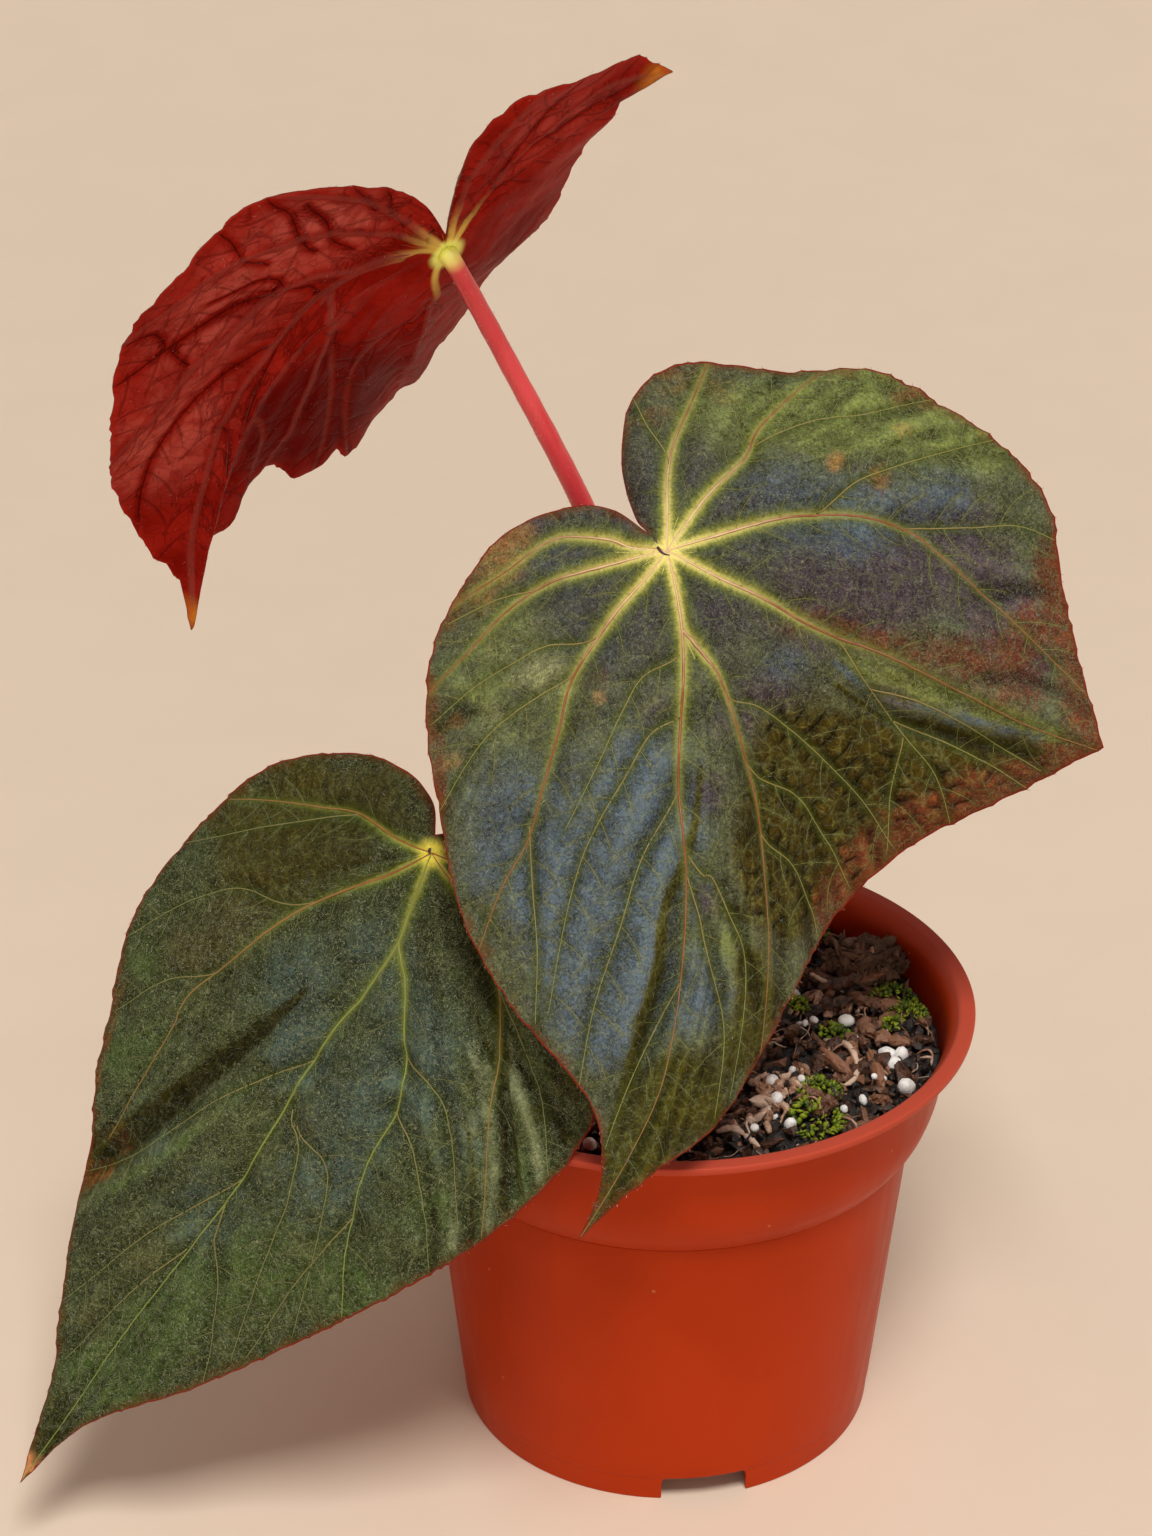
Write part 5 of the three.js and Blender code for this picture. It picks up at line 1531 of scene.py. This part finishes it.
            away, _ = nearest(self.at(self.base, *trail.T), others)
            meets = (away < 0.7) & (np.arange(len(trail)) > 2)
            stops = np.flatnonzero(meets | (trail[:, 1] > 97) | (trail[:, 1] < 7))
            end = stops[0] + 1 if len(stops) else int(len(trail) * self.rng.uniform(0.5, 1))
            if end > 4:
                grown.append(trail[:end])
        return grown

    def shift(self, spots, moves):
        """The change of place in the fan that moves each spot by its move in the blade's plane."""
        around, out = spots.T
        here = self.at(self.base, around, out)[:, :2]
        by_around = (self.at(self.base, around + 2, out)[:, :2] - here) / 2
        by_out = (self.at(self.base, around, np.minimum(out + 1, 100))[:, :2] - here)
        area = by_around[:, 0] * by_out[:, 1] - by_around[:, 1] * by_out[:, 0]
        area = np.where(np.abs(area) < 1e-4, 1e-4, area)
        along = (moves[:, 0] * by_out[:, 1] - moves[:, 1] * by_out[:, 0]) / area
        outward = (by_around[:, 0] * moves[:, 1] - by_around[:, 1] * moves[:, 0]) / area
        return np.stack([np.clip(along, -12, 12), np.clip(outward, -4, 4)], 1) * (out < 99)[:, None]

    def measure(self):
        """Distances to the veins, the margin, the junction and the tips for each grid point."""
        flat = self.base.reshape(-1, 3)
        shape = self.base.shape[:2]
        self.near = {rank: self.beside(rank) for rank in self.veins}
        one, two = self.near[1], self.near[2]
        first = one["away"] < two["away"]
        self.away = np.where(first, one["away"], two["away"])
        self.run = np.where(first, one["run"], two["run"] + 31)
        jump = np.abs(self.run - np.roll(self.run, 1, 1)) > 2.5
        jump[1:] |= np.abs(np.diff(self.run, axis=0)) > 2.5
        self.calm = np.clip(1 - 4 * smooth(jump.astype(float), 2), 0, 1)
        edge, _ = nearest(flat, tree_of(self.base[-1]))
        self.edge = edge.reshape(shape)
        self.hub = np.linalg.norm(self.base, axis=-1)
        tips = self.base[-1, self.corners[1:-1]][list(self.spec["tips"])]
        from_tips = [np.linalg.norm(self.base - tip, axis=-1) for tip in tips]
        self.tip = np.min(from_tips + [np.full(shape, 50.0)], axis=0)

    def fill_zones(self):
        """The strength of each zone at each grid point: its discs, and the stripes that run through it."""
        flat = self.base.reshape(-1, 3)
        shape = self.base.shape[:2]
        self.zones = {}
        for zone, discs in self.spec["zones"].items():
            total = np.zeros(shape)
            for x, y, radius, strength in discs:
                away = np.hypot(self.base[..., 0] - x, self.base[..., 1] - y) / radius
                total += strength * np.exp(-away ** 2)
            for stripe_zone, points, width, strength in self.spec["stripes"]:
                if stripe_zone == zone:
                    path = self.path(points)
                    away, found = nearest(flat, tree_of(self.at(self.base, *path.T)))
                    widths = np.linspace(*width, len(path))[found]
                    total = np.maximum(total, strength * np.exp(-(away / widths) ** 2).reshape(shape))
            self.zones[zone] = np.minimum(total, 1.2)

    def beside(self, rank):
        """Where each grid point lies by its nearest vein of a rank: the plain and the signed distance, how
        far along the vein it is, and the vein's strength there."""
        lines = [self.at(self.base, *path.T) for path in self.veins[rank]]
        heads = np.concatenate([unit(np.gradient(line, axis=0)) for line in lines])
        steps = [np.linalg.norm(np.diff(line, axis=0), axis=1) for line in lines]
        runs = np.concatenate([np.concatenate([[0], np.cumsum(step)]) for step in steps])
        strengths = np.concatenate([np.linspace(*VEIN_STRENGTH[rank], len(line)) for line in lines])
        lines = np.concatenate(lines)
        points = self.base.reshape(-1, 3)
        _, found = nearest(points, tree_of(lines))
        offset, heads = points - lines[found], heads[found]
        along = (offset * heads).sum(-1)
        across = np.linalg.norm(offset - along[:, None] * heads, axis=1)
        away = np.hypot(across, np.maximum(np.abs(along) - 0.6, 0))
        side = away * np.sign(heads[:, 0] * offset[:, 1] - heads[:, 1] * offset[:, 0])
        values = {"away": away, "side": side, "run": runs[found] + along, "strength": strengths[found]}
        return {name: value.reshape(self.base.shape[:2]) for name, value in values.items()}

    def ladder(self):
        """Small ridges that run off the veins like the rungs of a ladder."""
        spec = self.spec["wrinkles"]
        wander = rough(self.base.reshape(-1, 3), 0.2, 11).reshape(self.away.shape)
        phase = (self.run + 0.6 * self.away) / spec["wave"] + 0.8 * wander
        ridges = np.abs(np.sin(np.pi * phase)) - 0.64
        strength = spec["everywhere"] + spec["height"] * np.minimum(self.zones[spec["zone"]], 1)
        field = ridges * strength * np.exp(-(self.away / 8) ** 2) * np.clip(self.away / 1.2, 0, 1)
        field *= np.clip(self.edge / 3, 0.3, 1)
        return smooth(field, 2)

    def raise_relief(self):
        """The two faces: the base with grooves, folds, pleats and puckers, and ribs below."""
        shape = self.base.shape[:2]
        around = np.broadcast_to(np.arange(self.spokes) * 1000 / self.spokes, shape)
        out = np.broadcast_to(self.outs[:, None], shape)
        calm = np.clip((self.hub - 2) / 8, 0, 1)
        relief = self.ladder()
        ribs = np.zeros(shape)
        for rank, near in self.near.items():
            groove_share, rib_share = self.spec["depths"][rank]
            for depth, width in GROOVES[rank]:
                relief -= groove_share * depth * near["strength"] * np.exp(-(near["away"] / width) ** 2)
            height, width = RIBS[rank]
            rib = rib_share * height * near["strength"] * np.exp(-(near["away"] / width) ** 2)
            ribs = np.maximum(ribs, rib)
        for points, height, width in self.spec["folds"]:
            line = self.at(self.base, *self.path(points).T)
            distance, found = nearest(self.base.reshape(-1, 3), tree_of(line))
            ends = np.sin(np.pi * np.linspace(0.12, 0.97, len(line)))[found]
            relief += (height * ends * np.exp(-(distance / width) ** 2)).reshape(shape)
        amount = np.full(shape, self.spec["pleats"])
        for middle, width, height in self.spec["creases"]:
            amount += height * np.exp(-((around - middle) / width) ** 2)
        seed = len(self.name)
        turn = 2 * np.pi * around / 1000
        circle = np.stack([np.cos(turn) * 13, np.sin(turn) * 13, out * 2.6], -1).reshape(-1, 3)
        pleats = (rough(circle, 1.0, seed) + 0.6 * rough(circle, 2.1, seed + 1)).reshape(shape)
        relief += amount * pleats * np.clip(out * 1.3 - 0.15, 0, 1) ** 1.5 * 1.1
        flat = self.base.reshape(-1, 3) * [1, 1, 0.3]
        pucker = (0.34 * rough(flat, 0.16, seed + 2) + 0.15 * rough(flat, 0.45, seed + 3)).reshape(shape)
        relief += pucker
        self.cavity = np.clip((relief - smooth(relief, 10)) / 0.45, -1, 1)
        middle = self.base.copy()
        middle[..., 2] += relief * calm
        thin = np.clip(self.edge / 6, 0, 1) ** 0.7
        half = HALF_THICK_EDGE + (HALF_THICK - HALF_THICK_EDGE) * thin
        self.top, self.under = middle.copy(), middle.copy()
        self.top[..., 2] += half
        self.under[..., 2] -= half + ribs * calm

    def world(self, points):
        """Points of the blade's plane, set in their place round the pot's axis."""
        return np.asarray(points) @ self.turn.T + self.junction

    def blade(self, materials, slot):
        """The closed blade: upper face and rim in the first material, lower face in the second."""
        rings = len(self.outs) - 1
        top, under = self.top[1:].reshape(-1, 3), self.under[1:].reshape(-1, 3)
        count = len(top)
        i = np.arange(self.spokes)
        j = (i + 1) % self.spokes
        lines = self.spokes * np.arange(rings)
        face = np.concatenate([np.stack([k + i, m + i, m + j, k + j], 1) for k, m in zip(lines, lines[1:])])
        rim = lines[-1]
        edge = np.stack([rim + i, rim + i + count, rim + j + count, rim + j], 1)
        hub_top, hub_under = 2 * count, 2 * count + 1
        fan = np.stack([np.full(self.spokes, hub_top), i, j], 1)
        fan_under = np.stack([np.full(self.spokes, hub_under), j + count, i + count], 1)
        quads = np.concatenate([face, face[:, ::-1] + count, edge])
        triangles = np.concatenate([fan, fan_under])
        if self.clockwise:
            quads, triangles = quads[:, ::-1], triangles[:, ::-1]
        sides = np.repeat([0, 1, 0, 1], [len(face), len(face), 2 * self.spokes, self.spokes])
        points = np.vstack([top, under, self.top[0, :1], self.under[0, :1]])

        def both(field):
            inner = field[1:].reshape(-1)
            return np.concatenate([inner, inner, field[0, :1], field[0, :1]])

        values = {name: both(field) for name, field in self.shader_values().items()}
        parts = Parts()
        parts.add(self.world(points), quads, triangles, **values)
        parts.build(f"leaf_{self.name}_blade", materials, slot, [f"leaf_{self.name}"], material_of=sides)

    def shader_values(self):
        """What the materials need at each grid point."""
        values = {"run": self.run, "away": self.away, "edge": self.edge, "hub": self.hub, "tip": self.tip,
                  "cavity": self.cavity, "run1": self.near[1]["run"], "calm": self.calm}
        for rank, near in self.near.items():
            values[f"side{rank}"], values[f"away{rank}"] = near["side"], near["away"]
        fade = {rank: np.exp(-self.hub / far) for rank, far in HALO_FADE.items()}
        values["power1"] = self.spec["halo"] * self.near[1]["strength"] ** 0.5 * fade[1]
        values["power2"] = self.near[2]["strength"] * fade[2] * 0.8
        return {**values, **self.zones}

    def vein_lines(self, material, slot, under=False):
        """Fine tubes half sunk along every vein, on the side that shows it."""
        parts = Parts()
        grid = self.under if under else self.top
        up = self.turn @ np.array([0, 0, 1.0])
        for rank, paths in self.veins.items():
            thick, thin = TUBE_RADIUS[rank]
            for number, path in enumerate(paths):
                t = np.linspace(0, 1, len(path))
                line = self.world(self.at(grid, *path.T))
                if under:
                    line = line + up * 0.10 * (2 if rank == 1 else 1)
                away = np.linalg.norm(line - self.junction, axis=1)
                tint = {1: np.interp(away, *self.spec["tint"]), 2: 0.72 + 0.26 * t, 3: 0.97}[rank]
                lime = 1.0 if rank == 1 and number in self.spec.get("lime", ()) and not under else 0.0
                radii = (thick + (thin - thick) * t) * np.clip(0.4 + away / 18, 0.4, 1)
                tube(parts, line, radii, TUBE_SIDES[rank], up=up, flat=0.8, tint=tint, lime=lime)
        side = "under" if under else "top"
        parts.build(f"leaf_{self.name}_veins_{side}", [material], slot)

    def seam(self, material, slot):
        """A dark tube along the crease where the two lobes meet at the stalk: painted shade for the slit
        there.
        """
        line, _ = spline(self.spec["seam"], 16)
        parts = Parts()
        tube(parts, self.world(line), np.interp(np.linspace(0, 1, 17), [0, 0.4, 1], [0.12, 0.30, 0.08]), 8,
             up=self.turn @ np.array([0, 0, 1.0]), flat=0.7)
        parts.build(f"leaf_{self.name}_seam", [material], slot)

    def surface_spots(self, count, low=4, high=99):
        """Random places on the blade, as even as its area."""
        around = self.rng.uniform(0, 1000, count * 3)
        out = 100 * np.sqrt(self.rng.uniform((low / 100) ** 2, (high / 100) ** 2, count * 3))
        reach = self.reach[(around / 1000 * self.spokes).astype(int)]
        keep = self.rng.random(count * 3) < (reach / self.reach.max()) ** 1.5
        return around[keep][:count], out[keep][:count]

    def fuzz(self, material, slot, count, length, radius, label, under=False):
        """Short bent hairs that lie close to the blade."""
        around, out = self.surface_spots(count)
        grid = self.under if under else self.top
        root = self.at(grid, around, out)
        normal = unit(self.at(normals(grid), around, out))
        if under:
            normal = -normal
        drift = self.rng.normal(size=normal.shape)
        drift = unit(drift - (drift * normal).sum(-1, keepdims=True) * normal)
        curl = unit(np.cross(normal, drift) * self.rng.choice([-1, 1], len(drift))[:, None] + drift * 0.5)
        grow = unit(normal * self.rng.uniform(0.12, 0.5, len(drift))[:, None] + drift)
        parts = Parts()
        hairs(parts, self.world(root), grow @ self.turn.T, curl @ self.turn.T,
              self.rng.uniform(*length, len(root)), radius)
        parts.build(f"leaf_{self.name}_{label}", [material], slot)

    def fringe(self, material, slot):
        """A short hair at some of the teeth."""
        spokes = self.tooth_spokes[self.rng.random(len(self.tooth_spokes)) < 0.8]
        root = (self.top[-1, spokes] + self.under[-1, spokes]) / 2
        away = unit(self.base[-1, spokes] - self.base[-4, spokes])
        lean = unit(self.base[-1, (spokes + 3) % self.spokes] - root)
        grow = unit(away + 0.5 * lean + 0.3 * self.rng.normal(size=root.shape))
        parts = Parts()
        hairs(parts, self.world(root - away * 0.1), grow @ self.turn.T, lean @ self.turn.T,
              self.rng.uniform(0.3, 0.9, len(root)), 0.06)
        parts.build(f"leaf_{self.name}_fringe", [material], slot)


# Looks of the blades' upper faces. Each patch is a zone's colour and its share at the most. grain is how far
# the small relief's tops are painted paler and its hollows darker, as painted light and shade.

CENTRE_LOOK = {
    "ground": ((0.060, 0.064, 0.032), (0.078, 0.092, 0.046)),
    "patches": [
        ("leafy", (0.145, 0.175, 0.040), 0.85),
        ("silver_and_sheen", (0.24, 0.25, 0.115), 0.85),
        ("violet_and_painted_light", (0.056, 0.037, 0.049), 0.95),
        ("blue", (0.064, 0.090, 0.118), 0.9),
        ("olive_and_painted_shade", (0.038, 0.026, 0.001), 0.98),
        ("rust", (0.125, 0.032, 0.011), 0.9),
        ("deep", (0.042, 0.036, 0.001), 0.96),
        ("gold", (0.31, 0.165, 0.045), 0.8),
    ],
    "net": (0.12, 0.13, 0.04), "net_share": 0.3, "glow": (0.11, 0.15, 0.022), "glow_share": 0.7,
    "halo_far": (0.38, 0.39, 0.06), "halo_near": (0.92, 0.80, 0.26), "halo_width": 1.1,
    "star": (0.95, 0.84, 0.25), "star_reach": 3.4, "heart": (0.046, 0.042, 0.047), "heart_share": 0.85,
    "grain": (0.8, 0.9), "thread": (0.30, 0.32, 0.22), "thread_share": 0.5,
    "flush": (0.17, 0.040, 0.008), "tip": (0.16, 0.10, 0.02),
    "gloss": 0.16, "folds": 0.7, "fold_share": 1.0,
}
LEFT_LOOK = {
    "ground": ((0.027, 0.034, 0.010), (0.037, 0.049, 0.018)),
    "patches": [
        ("leafy", (0.042, 0.070, 0.015), 0.85),
        ("violet_and_painted_light", (0.052, 0.041, 0.012), 0.75),
        ("silver_and_sheen", (0.175, 0.195, 0.100), 0.75),
        ("blue", (0.046, 0.074, 0.064), 0.85),
        ("olive_and_painted_shade", (0.046, 0.036, 0.002), 0.9),
        ("deep", (0.024, 0.021, 0.0005), 0.97),
        ("rust", (0.13, 0.040, 0.004), 0.85),
    ],
    "net": (0.10, 0.12, 0.04), "net_share": 0.25, "glow": (0.066, 0.098, 0.014), "glow_share": 0.7,
    "halo_far": (0.18, 0.22, 0.03), "halo_near": (0.50, 0.48, 0.08), "halo_width": 0.9,
    "star": (0.85, 0.74, 0.09), "star_reach": 3.8, "heart": (0.030, 0.036, 0.014), "heart_share": 0.5,
    "grain": (0.85, 0.95), "thread": (0.34, 0.36, 0.22), "thread_share": 0.65,
    "flush": (0.11, 0.038, 0.005), "tip": (0.66, 0.27, 0.10),
    "gloss": 0.15, "folds": 0.5, "fold_share": 0.3,
}
YOUNG_LOOK = {
    **LEFT_LOOK,
    "ground": ((0.06, 0.055, 0.025), (0.09, 0.11, 0.035)),
    "flush": (0.30, 0.04, 0.02),
}
# Veins: their colour near the junction, in the middle, far out and on their flanks
VEIN_LOOKS = {
    "veins_under": ((0.66, 0.50, 0.08), (0.19, 0.022, 0.018), (0.065, 0.004, 0.003), (0.09, 0.006, 0.005)),
    "veins_top": ((0.86, 0.60, 0.36), (0.27, 0.080, 0.030), (0.25, 0.25, 0.06), (0.26, 0.045, 0.022)),
    "veins_green": ((0.30, 0.09, 0.02), (0.27, 0.14, 0.04), (0.19, 0.20, 0.07), (0.26, 0.045, 0.022)),
}
# Hairs on the blades: the shortest and the longest, and their radius
HAIRS = {"down": ((0.8, 1.8), 0.021), "hairs": ((0.5, 1.2), 0.026), "hairs_under": ((0.3, 0.7), 0.02)}
# For each leaf: its slot, its look and how many hairs it has, of down, of shining ones and of those below
LEAF_PLANS = {
    "centre": ("leaf_iridescent", CENTRE_LOOK, 3400, 260, 300),
    "left": ("leaf_green", LEFT_LOOK, 3900, 380, 300),
    "young": ("leaf_red", YOUNG_LOOK, 900, 100, 500),
}


def make_leaves():
    """All three leaves with their veins and hairs."""
    red = leaf_under_material("leaf_underside")
    under_veins, top_veins, green_veins = (vein_material(name, *look) for name, look in VEIN_LOOKS.items())
    dim = hair_material("dim_hairs", (0.24, 0.27, 0.21))
    bright = hair_material("bright_hairs", (0.60, 0.62, 0.50))
    pink = hair_material("pink_hairs", (0.70, 0.34, 0.28))
    # The seam's dark brown is painted shade for the slit where the lobes meet
    dark = hair_material("seam_painted_shade", (0.055, 0.010, 0.004))
    made = {}
    for name, (slot, look, over, shining, below) in LEAF_PLANS.items():
        leaf = Leaf(name, LEAVES[name])
        leaf.blade([leaf_top_material(f"leaf_{name}_top", look), red], slot)
        leaf.vein_lines(top_veins if name == "centre" else green_veins, slot)
        if name == "young":
            leaf.vein_lines(under_veins, slot, under=True)
        if "seam" in leaf.spec:
            leaf.seam(dark, slot)
        leaf.fuzz(dim, slot, over, *HAIRS["down"], "down")
        leaf.fuzz(bright, slot, shining, *HAIRS["hairs"], "hairs")
        leaf.fuzz(pink, slot, below, *HAIRS["hairs_under"], "hairs_under", under=True)
        leaf.fringe(pink, slot)
        made[name] = leaf
    return made


# Stage

def make_camera():
    """The camera that the photo was fitted with."""
    camera = bpy.data.objects.new("camera", bpy.data.cameras.new("camera"))
    bpy.context.scene.collection.objects.link(camera)
    camera.location = (np.array(CAMERA["spot"]) + AXIS) * MM
    camera.rotation_euler = (math.radians(90 - CAMERA["pitch"]), 0, 0)
    camera.data.lens = CAMERA["lens"]
    camera.data.clip_start = 0.02
    bpy.context.scene.camera = camera


def area_light(name, azimuth, elevation, distance, size, power, colour):
    """A square soft box that faces the plant. Azimuth 0 is the camera's side, positive to the right."""
    light = bpy.data.objects.new(name, bpy.data.lights.new(name, "AREA"))
    bpy.context.scene.collection.objects.link(light)
    turn, rise = math.radians(azimuth - 90), math.radians(elevation)
    away = Vector((math.cos(turn) * math.cos(rise), math.sin(turn) * math.cos(rise), math.sin(rise)))
    middle = Vector(LIGHT_TARGET) + Vector(AXIS * MM)
    light.location = middle + away * distance
    light.rotation_euler = (-away).to_track_quat("-Z", "Y").to_euler()
    light.data.shape = "SQUARE"
    light.data.size = size
    light.data.energy = power
    light.data.color = colour
    light.visible_camera = False


def make_floor():
    """A round floor, flat under the object, that curves up far behind it on every side."""
    columns, rows = 96, 48
    radii = np.concatenate([[0.2], np.linspace(FLOOR["flat"], FLOOR["reach"], rows)])
    over = np.clip(radii - FLOOR["flat"], 0, None)
    heights = FLOOR["curve"] - np.sqrt(FLOOR["curve"] ** 2 - over ** 2)
    turn = 2 * np.pi * np.arange(columns) / columns
    points = np.stack([np.outer(radii, np.cos(turn)), np.outer(radii, np.sin(turn)),
                       np.repeat(heights[:, None], columns, 1)], -1).reshape(-1, 3)
    quads, caps = ring_faces(len(radii), columns)
    middle = len(points)
    faces = quads[:, ::-1].tolist() + [[middle, a, b] for _, b, a in caps[:columns].tolist()]
    mesh = bpy.data.meshes.new("floor")
    mesh.from_pydata(np.vstack([points, [[0, 0, 0]]]).tolist(), [], faces)
    mesh.polygons.foreach_set("use_smooth", np.full(len(faces), True))
    mesh.materials.append(floor_material())
    floor = bpy.data.objects.new("floor", mesh)
    bpy.context.scene.collection.objects.link(floor)


def make_stage():
    """Camera, floor, lights and the even light of the room."""
    make_camera()
    make_floor()
    for name, light in LIGHTS.items():
        area_light(name, *light)
    world = bpy.data.worlds.new("studio")
    bpy.context.scene.world = world
    world.use_nodes = True
    background = world.node_tree.nodes["Background"]
    background.inputs["Color"].default_value = ROOM_COLOUR + (1,)
    background.inputs["Strength"].default_value = ROOM_LIGHT
    bpy.context.scene.view_settings.view_transform = "Standard"


make_stage()
leaves = make_leaves()
stalk_red = stalk_material()
stalk_hairs = hair_material("stalk_hairs", (0.85, 0.5, 0.45))
for leaf_name, leaf_made in leaves.items():
    make_stalk(leaf_name, leaf_made, stalk_red, stalk_hairs)
make_pot(pot_material())
make_soil()
make_rhizome(*(earth_material(name, *look) for name, look in STEM_SKINS.items()))
